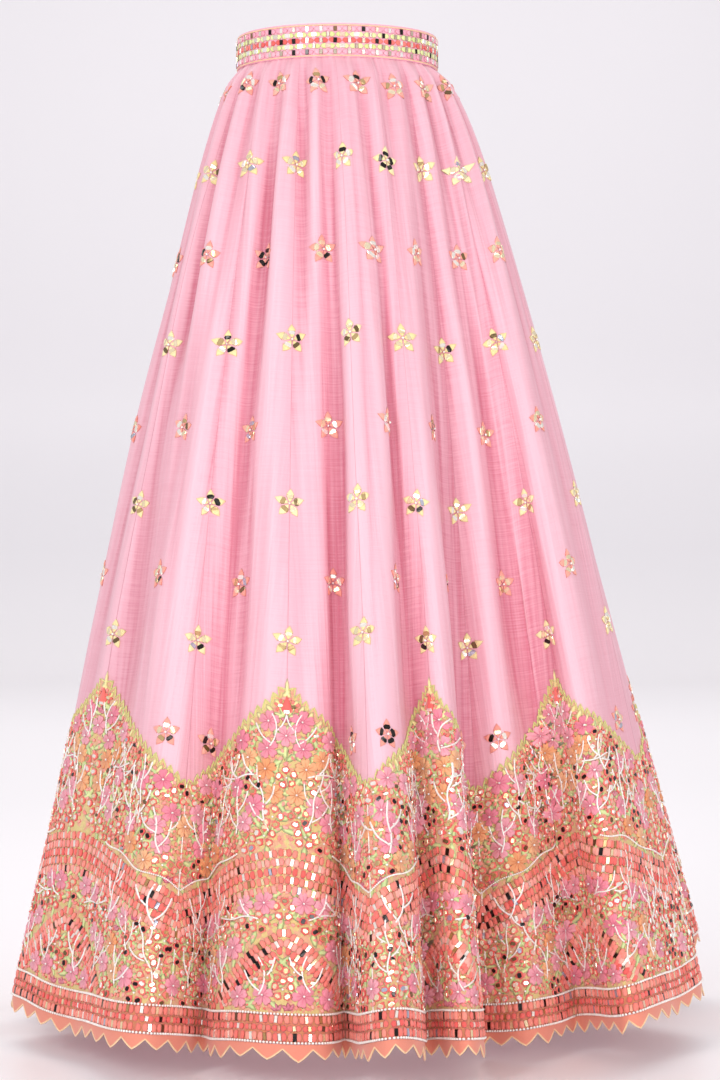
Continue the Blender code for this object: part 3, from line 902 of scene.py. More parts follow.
def painted_reflection_finish(name, steps):
    """Silvered glass with painted reflections: each bit is coloured dark, gold or pale by its shade value."""
    made, tree, shader = finish_of(name, Metallic=0.55, Coat_Weight=0.4)
    place = add(tree, "ShaderNodeTexCoord")
    speck = add(tree, "ShaderNodeTexNoise", {"Vector": place.outputs["Object"], "Scale": 420.0, "Detail": 2.0})
    speck = speck.outputs["Fac"]
    link_finish(tree, shader, Roughness=rescaled(tree, speck, 0.0, 1.0, 0.08, 0.30),
                Base_Color=graded(tree, named_layer(tree, "shade")["Fac"], steps, stepped=True),
                Normal=relief(tree, speck, 0.10, 0.0003))
    return made


# Painted reflections, from dark through gold and cream to white and blue-grey.
mirror_look = painted_reflection_finish("cut_mirror", [
    (0.0, (26, 19, 16)), (0.06, (120, 98, 62)), (0.12, (206, 176, 124)), (0.26, (248, 230, 190)),
    (0.52, (255, 249, 238)), (0.80, (253, 236, 200)), (0.95, (186, 188, 204))])
bead_look, tree, shader = finish_of("white_bead", Roughness=0.28, Specular_IOR_Level=0.6, Coat_Weight=0.3)
link_finish(tree, shader, Base_Color=graded(tree, named_layer(tree, "shade")["Fac"],
                                            [(0.0, (244, 234, 226)), (1.0, (255, 252, 247))]))
# The third colour of each felt is painted shade for its low sides.
salmon_felt = felt_finish("salmon_felt", tint(242, 146, 132), tint(252, 182, 162), tint(216, 110, 96))
cream_felt = felt_finish("cream_felt", tint(240, 218, 150), tint(252, 240, 188), tint(220, 182, 114))
rng = np.random.default_rng(27)


def reflection_shades(u, v, count=1, dark=0.0):
    """Shades for the painted mirror reflections, at random in loose patches, as if each patch of cloth were
    tilted its own way.
    """
    patch = np.sin(41.0 * u + 9.0 * v) * np.sin(17.0 * v - 23.0 * u + 1.3)
    shade = rng.random(count)
    return np.clip(shade - 0.10 * max(patch, 0.0) - dark, 0.0, 1.0)


STAR_SIZE = 0.93
STAR_ARM = 0.0073

arm_mirror = plate_shape([(-0.0047, 0.0), (-0.0030, -0.0026), (0.0030, -0.0026), (0.0047, 0.0),
                          (0.0030, 0.0026), (-0.0030, 0.0026)], 0.0011)
inner_point = pad_shape([(0.0, -0.0022), (0.0022, 0.0008), (0.0030, 0.0022), (-0.0030, 0.0022),
                         (-0.0022, 0.0008)], 0.0010, crown=1.25)
outer_point = pad_shape([(-0.0049, -0.0030), (0.0049, -0.0030), (0.0030, 0.0008), (0.0, 0.0048),
                         (-0.0030, 0.0008)], 0.0011, crown=1.35)
star_felt = five_round((inner_point, 0.0034), (outer_point, 0.0126))

# Share of the way down, colour, share of a kali by which the row is set along
STAR_ROWS = [(0.032, "salmon", 0.5), (0.122, "cream", 0.0), (0.218, "salmon", 0.5), (0.310, "cream", 0.0),
             (0.400, "salmon", 0.5), (0.478, "cream", 0.0), (0.553, "salmon", 0.5), (0.614, "cream", 0.0)]
felt_spots = {"salmon": [], "cream": []}
arm_spots, eye_spots = [], []
for down, colour, phase in STAR_ROWS + [(0.713, "salmon", None)]:
    places = ([k + side for k in range(0, KALI_COUNT, 2) for side in (-0.21, 0.21)] if phase is None
              else [k + phase for k in range(KALI_COUNT)])
    for k in places:
        u, v = k / KALI_COUNT, down + rng.normal(0.0, 0.0015)
        lean = rng.normal(0.0, 0.10)
        felt_spots[colour].append(spot(u, v, 0.0, lean))
        eye_spots.append(spot(u, v, 0.0006, lean))
        # A few stars get a dark painted reflection in all five mirrors.
        dark_reflection = 0.8 if rng.random() < 0.04 else 0.0
        for arm, shade in enumerate(reflection_shades(u, v, 5, dark_reflection)):
            turn = lean + 2 * np.pi * arm / 5
            arm_spots.append(spot(u, v, 0.0003, turn + rng.normal(0.0, 0.06), -STAR_ARM * np.sin(turn),
                                  STAR_ARM * np.cos(turn), shade=shade))
for colour, look in (("salmon", salmon_felt), ("cream", cream_felt)):
    piece = sew(f"star_felt_{colour}", star_felt, felt_spots[colour], look, size=STAR_SIZE, uneven=0.04)
piece = sew("star_mirrors", arm_mirror, arm_spots, mirror_look, size=STAR_SIZE, smooth=False)
piece = sew("star_beads", bead_shape(0.0014), eye_spots, bead_look)


# Border embroidery
# Above the hem band the ground is filled with felt and thread flowers, leaves, arched rows of
# mirrors between petals, and sprays of white beads, mirrored left and right of each peak.
PETAL = [(-0.0016, -0.0028), (-0.0016, 0.0028), (-0.0038, 0.0038), (-0.0062, 0.0030), (-0.0074, 0.0),
         (-0.0062, -0.0030), (-0.0038, -0.0038)]
petal_left = pad_shape(PETAL, 0.0017, crown=1.3, slope=0.74)
petal_pair = join_shapes(petal_left, turned_shape(petal_left, np.pi))
row_mirror = plate_shape([(-0.0017, -0.0033), (0.0017, -0.0033), (0.0017, 0.0033), (-0.0017, 0.0033)], 0.0012)
# The third colour of each felt and thread is painted shade for its low sides.
coral_felt = felt_finish("coral_felt", tint(236, 110, 100), tint(252, 158, 140), tint(186, 62, 52))
rose_felt = felt_finish("rose_felt", tint(244, 132, 126), tint(254, 182, 166), tint(204, 86, 76))
hot_coral_felt = felt_finish("hot_coral_felt", tint(234, 90, 86), tint(252, 134, 122), tint(172, 50, 42))
leaf_felt = felt_finish("leaf_thread", tint(194, 218, 152), tint(234, 240, 170), tint(172, 188, 116))
edge_thread = felt_finish("edge_thread", tint(236, 226, 148), tint(250, 240, 178), tint(218, 196, 122))


def petal_finish(name, dark, light, vein, rim):
    """Flower of thread laid out from its middle, with darker veins and painted shade in a deeper colour on its
    low edge, next to the cloth.
    """
    made, tree, shader = finish_of(name, Roughness=0.6, Specular_IOR_Level=0.3, Sheen_Weight=0.3,
                                   Sheen_Roughness=0.5)
    needle = named_layer(tree, "needle")["Vector"]
    split = add(tree, "ShaderNodeSeparateXYZ", {0: needle})
    angle = reckon(tree, "ARCTAN2", split.outputs["Y"], split.outputs["X"])
    far = add(tree, "ShaderNodeVectorMath", {0: needle}, operation="LENGTH").outputs["Value"]
    ray = reckon(tree, "SUBTRACT", reckon(tree, "MULTIPLY", angle, 5.0), 1.5708)
    lines = reckon(tree, "POWER", reckon(tree, "COSINE", ray), 6.0)
    lines = reckon(tree, "MULTIPLY", lines, rescaled(tree, far, 0.002, 0.0085, 1.0, 0.0))
    stitch = reckon(tree, "SINE", reckon(tree, "MULTIPLY", angle, 46.0))
    share = reckon(tree, "MULTIPLY_ADD", stitch, 0.16, named_layer(tree, "shade")["Fac"])
    shown = mixed(tree, lines, mixed(tree, share, dark, light), vein)
    # Painted shade: the rim colour darkens the flower towards its foot.
    shown = mixed(tree, rescaled(tree, split.outputs["Z"], 0.0, 0.0015, 0.85, 0.0), shown, rim)
    link_finish(tree, shader, Base_Color=shown, Normal=relief(tree, stitch, 0.6, 0.0003))
    return made


# The last colour of each is painted shade for the flower's low edge.
pink_petals = petal_finish("pink_petals", tint(250, 138, 160), tint(255, 178, 190), tint(238, 104, 134),
                           tint(228, 98, 126))
orange_petals = petal_finish("orange_petals", tint(252, 164, 108), tint(255, 196, 146), tint(234, 120, 68),
                             tint(230, 116, 70))


def flower_shape(radius, height, notch):
    """A five-petal flower in one raised piece, each petal nicked at its tip."""
    profile = [(-0.5, 0.56, 0.30), (-0.36, 0.88, 0.85), (-0.15, 1.0, 1.0), (0.0, notch, 0.80),
               (0.15, 1.0, 1.0), (0.36, 0.88, 0.85)]
    rim, crest = [], []
    for k in range(5):
        for turn, reach, rise in profile:
            a = np.pi / 2 + 2 * np.pi * (k + turn) / 5
            rim.append((radius * reach * np.cos(a), radius * reach * np.sin(a), 0.0))
            crest.append((0.88 * radius * reach * np.cos(a), 0.88 * radius * reach * np.sin(a), height * rise))
    n = len(rim)
    faces = side_faces(n) + [(n + k, n + (k + 1) % n, 2 * n) for k in range(n)]
    faces += [((k + 1) % n, k, 2 * n + 1) for k in range(n)]
    return rim + crest + [(0.0, 0.0, height * 0.5), (0.0, 0.0, 0.0)], faces


def leaf_shape(length, width, height):
    """A pointed leaf with a raised middle line, growing up from its foot."""
    outline = [(0.0, 0.0), (0.48 * width, 0.34 * length), (0.36 * width, 0.72 * length), (0.0, length),
               (-0.36 * width, 0.72 * length), (-0.48 * width, 0.34 * length)]
    points = [(*p, 0.0) for p in outline] + [(0.0, 0.30 * length, height), (0.0, 0.68 * length, height)]
    faces = [(0, 1, 6), (1, 2, 7, 6), (2, 3, 7), (3, 4, 7), (4, 5, 6, 7), (5, 0, 6)]
    return points, faces + [tuple(reversed(range(6)))]


def soften(line, rounds=3):
    """An open line with its corners cut until it flows."""
    for _ in range(rounds):
        cut = np.stack([0.75 * line[:-1] + 0.25 * line[1:], 0.25 * line[:-1] + 0.75 * line[1:]], axis=1)
        line = np.concatenate([line[:1], cut.reshape(-1, 2), line[-1:]])
    return line


def beaded_shape(lines, radius=0.0010, pitch=0.0034, lift=0.0014, sides=4):
    """Rows of tiny beads threaded along lines, each bead a swelling of one closed string."""
    points, faces = [], []
    for line in lines:
        line = soften(np.array(line, dtype=float))
        run = run_along(line)
        beads = max(2, round(run[-1] / pitch))
        at = np.linspace(0.0, run[-1], 2 * beads + 1)
        path = np.stack([np.interp(at, run, line[:, k]) for k in range(2)], axis=1)
        way = np.gradient(path, axis=0)
        way /= np.linalg.norm(way, axis=1, keepdims=True)
        start = len(points)
        points.append((*path[0], lift))
        for k in range(1, 2 * beads):
            r = radius if k % 2 else 0.80 * radius
            for a in np.pi / 4 + np.linspace(2 * np.pi, 0, sides, endpoint=False):
                side = r * np.cos(a)
                points.append((path[k, 0] - way[k, 1] * side, path[k, 1] + way[k, 0] * side,
                               lift + r * np.sin(a)))
        points.append((*path[-1], lift))
        end = len(points) - 1
        for m in range(sides):
            n = (m + 1) % sides
            faces.append((start, start + 1 + m, start + 1 + n))
            for k in range(2 * beads - 2):
                a = start + 1 + k * sides
                faces.append((a + m, a + sides + m, a + sides + n, a + n))
            a = start + 1 + (2 * beads - 2) * sides
            faces.append((a + m, end, a + n))
    return points, faces


def mirrored(lines):
    """Lines turned over from left to right."""
    return [[(-x, y) for x, y in line] for line in lines]


def in_millimetres(*lines):
    """Lines of points that are given in millimetres."""
    return [[(x / 1000, y / 1000) for x, y in line] for line in lines]


edge_share, edge_plain, cut_share, cut_height = scalloped_edge()

# Height at the peak, fall on its way down, power of the fall, rows
OUTER_ARCH = (0.191, 0.052, 1.25, 5)
INNER_ARCH = (0.112, 0.082, 1.25, 3)
ROW_RISE = 0.0088
FIELD_FOOT = 0.030
SHARP_FOLD = 0.0036


def arch_height(arch, s):
    """Height above the hem of an arch's top row at each share from the peak."""
    top, fall, power, _ = arch
    return top - fall * (s if arch is OUTER_ARCH else s / 0.5) ** power


def inside_border(s, h):
    """Whether a point at a share from the peak and a height lies on the border's field."""
    return (h > FIELD_FOOT) & (h < np.interp(1.0 - abs(1.0 - abs(s)), edge_share, edge_plain) - 0.0015)


def is_free(s, h, r):
    """Whether a round patch lies wholly on plain ground."""
    if h + 0.75 * r > np.interp(s, edge_share, edge_plain) - 0.002 or h - 0.9 * r < 0.0305:
        return False
    if s > 0.001 and s * kali_metres(h) < 0.9 * r or s < 0.999 and (1.0 - s) * kali_metres(h) < 0.9 * r:
        return False
    for arch, reach in ((OUTER_ARCH, 1.0), (INNER_ARCH, 0.52)):
        middle = arch_height(arch, min(s, reach)) - (arch[3] - 1) * ROW_RISE / 2
        half = arch[3] * ROW_RISE / 2 * (1.30 if arch is INNER_ARCH and s > 0.08 else 1.0)
        if s <= reach and abs(h - middle) < half + r * 0.78:
            return False
    return True


def sharp_fold(u, v):
    """Whether the cloth turns too sharply at a place for a large flower to lie on it."""
    left, middle, right = (read_grid(cloth, np.array([u + k * 0.0027]), np.array([v]))[0]
                           for k in (-1, 0, 1))
    return np.linalg.norm((left + right) / 2 - middle) > SHARP_FOLD


def on_border(peak, side, s, h):
    """Shares of the cloth at a share from a peak, on one side of it, and a height above the hem."""
    return peak + side * s / KALI_COUNT, 1.0 - h / CLOTH_LENGTH


# One half of a repeat: kind, share from the peak, height above the hem, radius
planting = [("pink", 0.0, 0.303, 0.0118), ("mirror", 0.0, 0.262, 0.0112), ("mirror", 0.0, 0.130, 0.0108),
            ("orange", 1.0, 0.207, 0.0118), ("mirror", 1.0, 0.080, 0.0112), ("mirror", 0.0, 0.052, 0.0110),
            ("pink", 1.0, 0.050, 0.0115), ("mirror", 1.0, 0.160, 0.0112)]
rng = np.random.default_rng(34)
kinds = ["mirror", "pink", "orange", "mirror", "pink", "mirror", "pink", "mirror"]
radii = {"pink": 0.0114, "orange": 0.0110, "mirror": 0.0110, "rosette": 0.0064, "bell": 0.0052,
         "seed": 0.0031, "knot": 0.0022}


def best_place(r, tries, snug):
    """A free place on the half repeat that sits closest to what is there."""
    found = None
    for _ in range(tries):
        s, h = rng.random(), rng.uniform(0.033, 0.345)
        if not is_free(s, h, r * snug):
            continue
        gaps = [np.hypot((s - t) * kali_metres(h), h - g) - (r + q) * snug for _, t, g, q in planting]
        if min(gaps) > 0 and (found is None or min(gaps) < found[0]):
            found = (min(gaps), s, h)
    return found and found[1:]


# Kind, how many are tried, places tried for each, how close they stand
for kind, many, tries, snug in ((None, 66, 300, 0.92), ("rosette", 40, 160, 0.92), ("bell", 18, 100, 0.92),
                                ("seed", 210, 50, 0.88), ("knot", 150, 30, 0.92)):
    for turn in range(many):
        sort = kind or kinds[turn % len(kinds)]
        free = best_place(radii[sort], tries, snug)
        if free:
            planting.append((sort, *free, radii[sort]))

SPRIG = in_millimetres([(0, 0), (3, 14), (-2, 29), (2, 43), (0, 56)], [(2, 9), (9, 16), (13, 28)],
                       [(-1, 22), (-9, 28), (-13, 39)], [(1, 35), (8, 41), (11, 50)])
FORK = in_millimetres([(0, 0), (-4, 12), (-1, 26), (-4, 41)], [(-2, 6), (7, 14), (11, 28)],
                      [(-2, 18), (-11, 24), (-16, 35)], [(9, 20), (16, 24), (20, 32)])
SWEEP = in_millimetres([(0, 0), (12, 6), (27, 6), (45, 14)], [(8, 4), (14, 13), (15, 24)],
                       [(24, 6), (32, 14), (34, 25)], [(32, 7), (41, 5), (50, 8)])
CURL = in_millimetres([(0, 0), (-6, 8), (-8, 20), (-3, 31)], [(-2, 3), (6, 10), (11, 22)],
                      [(-7, 13), (-14, 19), (-18, 29)])

# Share from the peak, height of its foot, turn, which spray
SPRAYS = [(0.10, 0.196, 0.20, SPRIG), (0.32, 0.192, 0.05, FORK), (0.56, 0.180, -0.10, SPRIG),
          (0.83, 0.170, -0.05, FORK), (0.14, 0.250, 0.25, SWEEP),
          (0.44, 0.236, 0.15, CURL), (0.66, 0.220, 0.15, SPRIG), (0.09, 0.284, 0.30, CURL),
          (0.12, 0.110, 0.25, SWEEP), (0.44, 0.090, 0.05, SPRIG), (0.70, 0.066, -0.10, FORK),
          (0.88, 0.040, -0.15, SPRIG), (0.60, 0.036, 0.25, CURL), (0.84, 0.100, 0.05, CURL),
          (0.13, 0.036, 0.15, CURL), (0.36, 0.038, 0.20, FORK)]

peak_shares = [(2 * k + 1) / KALI_COUNT for k in range(BORDER_COUNT)]
flowers = {kind: [] for kind in radii}
leaves, small_leaves, eyes, petal_mirrors, heart_mirrors = [], [], [], [], []
sprays = {(id(shape), side): [] for *_, shape in SPRAYS for side in (-1, 1)}
ON_GROUND = GROUND_LIFT + GROUND_WALL - 0.0001
for peak in peak_shares:
    for side in (-1, 1):
        for kind, s, h, r in planting:
            if side < 0 and s in (0.0, 1.0):
                continue
            u, v = on_border(peak, side, s, h)
            across, up = rng.normal(0.0, 0.0006, 2)
            large = kind in ("pink", "orange", "mirror")
            if large and sharp_fold(u, v):
                flowers["seed"] += [spot(u, v, ON_GROUND, -turn, 0.006 * np.sin(turn), 0.006 * np.cos(turn))
                                    for turn in 2 * np.pi * np.arange(6) / 6 + rng.random()]
                continue
            lean = rng.normal(0.0, 0.22) if kind != "seed" else rng.uniform(-2.2, 2.2)
            big = r / radii[kind] * rng.uniform(0.95, 1.06)
            flowers[kind].append(spot(u, v, ON_GROUND, lean, across, up, big, big))
            if large:
                eyes.append(spot(u, v, ON_GROUND + (0.0012 if kind != "mirror" else 0.0004), 0.0, across, up))
                count = 3 if kind == "mirror" else 4
                for k in range(count):
                    turn = lean + 2 * np.pi * (k + 0.5) / count + rng.normal(0.0, 0.25)
                    long = rng.uniform(0.75, 1.15)
                    reach = 0.62 * r + 0.0185 * long
                    beyond = s - side * reach * np.sin(turn) / kali_metres(h)
                    if inside_border(beyond, h + reach * np.cos(turn)):
                        leaves.append(spot(u, v, ON_GROUND, turn, across - 0.62 * r * np.sin(turn),
                                           up + 0.62 * r * np.cos(turn), tall=long))
            if kind == "rosette":
                heart_mirrors.append(spot(u, v, ON_GROUND + 0.0010, lean, across, up, 0.62, 0.62,
                                          reflection_shades(u, v)[0]))
            if kind == "mirror":
                # A few mirror flowers get a dark painted reflection in all five mirrors.
                dark_reflection = 0.5 if rng.random() < 0.12 else 0.0
                for k, shade in enumerate(reflection_shades(u, v, 5, dark_reflection)):
                    turn = lean + 2 * np.pi * k / 5
                    petal_mirrors.append(spot(u, v, ON_GROUND + 0.0014, turn,
                                              across - 0.0082 * big * np.sin(turn),
                                              up + 0.0082 * big * np.cos(turn), 0.66, 0.80, shade))
        for s, h, turn, shape in SPRAYS:
            turn, grown = turn + rng.normal(0.0, 0.12), rng.uniform(1.12, 1.28)
            x, y = np.array([point for line in shape for point in line]).T * grown
            inside = (inside_border(s + (x * np.cos(turn) + y * np.sin(turn)) / kali_metres(low),
                                    low + y * np.cos(turn) - x * np.sin(turn)).all()
                      for low in np.arange(h + 0.010, h - 0.020, -0.003))
            fall = next((k for k, clear in enumerate(inside) if clear), None)
            if fall is None:
                continue
            u, v = on_border(peak, side, s, h + 0.010 - 0.003 * fall)
            across, up = rng.normal(0.0, 0.002, 2)
            sprays[id(shape), side].append(spot(u, v, ON_GROUND, -side * turn, across, up, grown, grown))
        for _ in range(140):
            s, h = rng.random(), rng.uniform(0.034, 0.335)
            if is_free(s, h, 0.0055):
                small_leaves.append(spot(*on_border(peak, side, s, h), ON_GROUND, rng.normal(0.0, 0.9)))

mirror_petal = pad_shape([(0.0, 0.0030), (0.0046, 0.0078), (0.0026, 0.0116), (-0.0026, 0.0116),
                          (-0.0046, 0.0078)], 0.0018, crown=1.1)
mirror_flower = five_round((mirror_petal, 0.0))
bell_petal = leaf_shape(0.0088, 0.0052, 0.0016)
bell = join_shapes(*[turned_shape(bell_petal, turn) for turn in (-0.75, 0.0, 0.75)])
bell = ([(x, y - 0.004, z) for x, y, z in bell[0]], bell[1])
small_petal = pad_shape([(0.0, 0.0010), (0.0020, 0.0038), (0.0012, 0.0066), (-0.0012, 0.0066),
                         (-0.0020, 0.0038)], 0.0014, crown=1.15, slope=0.75)
rosette = five_round((small_petal, 0.0))
seed_petal = turned_shape(small_petal, 0.0, -0.0040)
for name, shape, spots, look, smooth in (
        ("border_leaves", leaf_shape(0.0185, 0.0080, 0.0011), leaves, leaf_felt, True),
        ("border_small_leaves", leaf_shape(0.0115, 0.0050, 0.0010), small_leaves, leaf_felt, True),
        ("border_pink_flowers", flower_shape(0.0118, 0.0023, 0.90), flowers["pink"], pink_petals, True),
        ("border_orange_flowers", flower_shape(0.0116, 0.0023, 0.84), flowers["orange"], orange_petals, True),
        ("border_mirror_flowers", mirror_flower, flowers["mirror"], hot_coral_felt, True),
        ("border_flower_mirrors", arm_mirror, petal_mirrors, mirror_look, False),
        ("border_bells", bell, flowers["bell"], pink_petals, True),
        ("border_rosettes", rosette, flowers["rosette"], coral_felt, True),
        ("border_rosette_mirrors", arm_mirror, heart_mirrors, mirror_look, False),
        ("border_seeds", seed_petal, flowers["seed"], rose_felt, True),
        ("border_knots", bead_shape(0.0014, 3, 5), flowers["knot"], hot_coral_felt, True),
        ("border_flower_beads", bead_shape(0.0013, 3, 5), eyes, bead_look, True)):
    sew(name, shape, spots, look, smooth=smooth)
for number, (shape, label) in enumerate(((SPRIG, "sprig"), (FORK, "fork"), (SWEEP, "sweep"), (CURL, "curl"))):
    for side, word in ((-1, "left"), (1, "right")):
        lines = mirrored(shape) if side < 0 else shape
        piece = sew(f"bead_{label}_{word}", beaded_shape(lines), sprays[id(shape), side], bead_look,
                    uneven=0.08, seed=number)


# Arches, leafy edge and buds of the border
# Rows of mirrors between felt petals arch below every peak. A lime cord is couched along the
# scalloped edge over small leaves, and a felt bud with a fine tip stands on each peak.
def unit_row(u, v, turn, wide, shade, felt, mirrors, tall, skip):
    """One petal, mirror, petal unit as a felt spot and a mirror spot."""
    felt.append(spot(u, v, ON_GROUND, turn, wide=wide, tall=tall))
    if rng.random() >= skip:
        mirrors.append(spot(u, v, ON_GROUND + 0.0003, turn + rng.normal(0.0, 0.05), tall=tall * 0.92,
                            shade=shade))


row_felt = {"hot": [], "coral": [], "salmon": []}
row_mirrors = []
for arch in (OUTER_ARCH, INNER_ARCH):
    for row in range(arch[3]):
        s = np.linspace(0.0, 1.0, 300)
        h = arch_height(arch, s) - (row + 0.5) * ROW_RISE
        keep = h > 0.0365
        s, h = s[keep], h[keep]
        x = np.r_[0.0, np.cumsum(np.diff(s) * kali_metres(h)[1:])]
        run = np.r_[0.0, np.cumsum(np.hypot(np.diff(x), np.diff(h)))]
        count = round(run[-1] / 0.0146)
        half = 0.5 * (row % 2)
        for k in range(count + 1 if not half else count):
            at = (k + half) * run[-1] / count
            share, high = np.interp(at, run, s), np.interp(at, run, h)
            slope = np.arctan2(np.interp(at + 0.002, run, h) - np.interp(at - 0.002, run, h),
                               np.interp(at + 0.002, run, x) - np.interp(at - 0.002, run, x))
            if at > run[-1] - 0.002 and arch is OUTER_ARCH:
                slope = 0.0
            for peak in peak_shares:
                for side in (-1, 1):
                    if side < 0 and (share < 0.002 or share > 0.998):
                        continue
                    u, v = on_border(peak, side, share, high)
                    turn = side * slope if share > 0.002 else 0.0
                    colour = ("coral", "salmon", "hot", "coral", "salmon")[row]
                    unit_row(u, v, turn, 1.0, reflection_shades(u, 1.0 - high)[0], row_felt[colour],
                             row_mirrors, 1.22, 0.15)

garland = []
for peak in peak_shares:
    s = np.linspace(0.30, 1.0, 200)
    h = arch_height(OUTER_ARCH, s) + 0.0035 + 0.0040 * np.sin(9.0 * s) ** 2
    run = np.r_[0.0, np.cumsum(np.hypot(np.diff(s) * kali_metres(h)[1:], np.diff(h)))]
    for at in np.arange(0.0, run[-1], 0.0023):
        share, high = np.interp(at, run, s), np.interp(at, run, h)
        garland += [spot(*on_border(peak, side, share, high), ON_GROUND + 0.0006) for side in (-1, 1)]
edge_leaves, bud_spots, bud_leaves, tip_spots, cord_lines, middle_lines = [], [], [], [], [], []
lobe_tops = range(SCALLOP_STEPS // 2, len(edge_share) - 1, SCALLOP_STEPS)
for peak in peak_shares:
    for side in (-1, 1):
        for k in lobe_tops:
            rise = np.arctan2(edge_plain[k + 2] - edge_plain[k - 2],
                              (edge_share[k + 2] - edge_share[k - 2]) * kali_metres(edge_plain[k]))
            turn = side * rise
            u, v = on_border(peak, side, edge_share[k], edge_plain[k] + 0.0022)
            edge_leaves.append(spot(u, v, ON_GROUND, turn + rng.normal(0.0, 0.12), 0.0115 * np.sin(turn),
                                    -0.0115 * np.cos(turn), 1.1, rng.uniform(0.92, 1.08),
                                    rng.uniform(0.45, 1.0)))
    v = 1.0 - 0.321 / CLOTH_LENGTH
    bud_spots.append(spot(peak, v, ON_GROUND, up=0.002, wide=1.35, tall=1.15))
    bud_leaves += [spot(peak, v, ON_GROUND, turn, wide=1.2, tall=long, shade=0.8)
                   for turn, long in ((0.62, 1.15), (-0.62, 1.15), (1.2, 1.0), (-1.2, 1.0))]
    tip_spots.append(spot(peak, v, 0.0005, up=0.020, shade=0.9))
    row_mirrors.append(spot(peak, v, ON_GROUND + 0.0016, np.pi / 2, up=0.006, tall=0.9, shade=0.7))
    both = np.r_[-cut_share[:0:-1], cut_share]
    rise = np.r_[cut_height[:0:-1], cut_height]
    cord_lines.append(on_cloth(peak + both / KALI_COUNT, 1.0 - (rise - 0.0004) / CLOTH_LENGTH,
                               ON_GROUND + 0.0002))
    down = np.linspace(FIELD_FOOT, 0.250, 60)
    middle_lines.append(on_cloth(np.full(60, peak + 1.0 / KALI_COUNT), 1.0 - down / CLOTH_LENGTH,
                                 ON_GROUND + 0.0003))

tip_thread = felt_finish("tip_thread", tint(236, 222, 146), tint(248, 236, 172))
lime_cord = felt_finish("lime_cord", tint(206, 208, 118), tint(236, 232, 156))
bud = pad_shape([(0.0, 0.0), (0.0036, 0.0036), (0.0042, 0.0078), (0.0020, 0.0140), (0.0, 0.0190),
                 (-0.0020, 0.0140), (-0.0042, 0.0078), (-0.0036, 0.0036)], 0.0022, crown=1.1,
                centre=(0.0, 0.0075))
# Painted reflections, some in the coral of the petals beside the mirrors.
mirror_rows_look = painted_reflection_finish("row_mirror", [
    (0.0, (26, 18, 15)), (0.10, (112, 80, 54)), (0.15, (190, 150, 98)), (0.24, (238, 164, 138)),
    (0.40, (250, 224, 180)), (0.62, (255, 249, 238)), (0.86, (252, 214, 186)), (0.95, (186, 190, 208))])
for name, shape, spots, look in (("arch_petals_hot", petal_pair, row_felt["hot"], hot_coral_felt),
                                 ("arch_petals_coral", petal_pair, row_felt["coral"], coral_felt),
                                 ("arch_petals_salmon", petal_pair, row_felt["salmon"], rose_felt),
                                 ("edge_leaves", leaf_shape(0.0125, 0.0072, 0.0011), edge_leaves, edge_thread),
                                 ("bud_leaves", leaf_shape(0.0150, 0.0042, 0.0011), bud_leaves, leaf_felt),
                                 ("peak_tips", leaf_shape(0.0215, 0.0056, 0.0018), tip_spots, tip_thread),
                                 ("peak_buds", bud, bud_spots, hot_coral_felt)):
    sew(name, shape, spots, look)
sew("arch_mirrors", row_mirror, row_mirrors, mirror_rows_look, smooth=False)
sew("arch_garland", bead_shape(0.00112, 3, 5), garland, bead_look, uneven=0.05)
lay_cord("edge_cord", cord_lines, 0.00075, 5, lime_cord)
lay_cord("valley_cord", middle_lines, 0.00080, 5, bead_look)


# Hem band
# Three close rows of petal, mirror and petal units run round the hem between two lines of
# white beads, the middle row brighter and set half a unit along.
def even_shares(v, pitch, start=0.0):
    """Shares round the skirt that lie one pitch apart along the cloth at that height."""
    u = np.arange(AROUND + 1) / AROUND
    run = run_along(read_grid(cloth, u, np.full_like(u, v)))
    count = round(run[-1] / pitch)
    return np.interp((np.arange(count) + start) * run[-1] / count, run, u)


hem_felt, hem_mirrors, hem_beads = {"hot": [], "coral": []}, [], []
for height, colour, start, tall in ((0.0236, "coral", 0.0, 1.30), (0.0150, "hot", 0.5, 0.92),
                                    (0.0064, "coral", 0.0, 1.30)):
    v = 1.0 - height / CLOTH_LENGTH
    for u in even_shares(v, 0.0149, start):
        unit_row(u, v, rng.normal(0.0, 0.05), 1.02, reflection_shades(u, v)[0], hem_felt[colour], hem_mirrors,
                 tall, 0.10)
for height in (0.0288, 0.0012):
    v = 1.0 - height / CLOTH_LENGTH
    hem_beads += [spot(u, v, ON_GROUND - 0.0002) for u in even_shares(v, 0.0034)]
sew("hem_petals_hot", petal_pair, hem_felt["hot"], hot_coral_felt)
sew("hem_petals_coral", petal_pair, hem_felt["coral"], coral_felt)
sew("hem_mirrors", row_mirror, hem_mirrors, mirror_rows_look, smooth=False)
sew("hem_beads", bead_shape(0.00155, 3, 5), hem_beads, bead_look, uneven=0.04)


# Waistband rows
# The band's five rows are pink, lime, coral, lime and pink felt petals either side of small
# mirrors, each row set half a unit along from the one above.
BAND_UNITS = 44
BAND_ROWS = [(-0.0060, "pink", 0.0), (-0.0121, "lime", 0.5), (-0.0182, "coral", 0.0),
             (-0.0243, "lime", 0.5), (-0.0304, "pink", 0.0)]

# Painted reflections for the band's mirrors.
band_mirror_look = painted_reflection_finish("band_mirror", [
    (0.0, (26, 19, 16)), (0.12, (150, 120, 84)), (0.20, (206, 190, 170)), (0.36, (238, 226, 212)),
    (0.60, (255, 250, 244)), (0.86, (246, 214, 190)), (0.93, (186, 190, 206))])
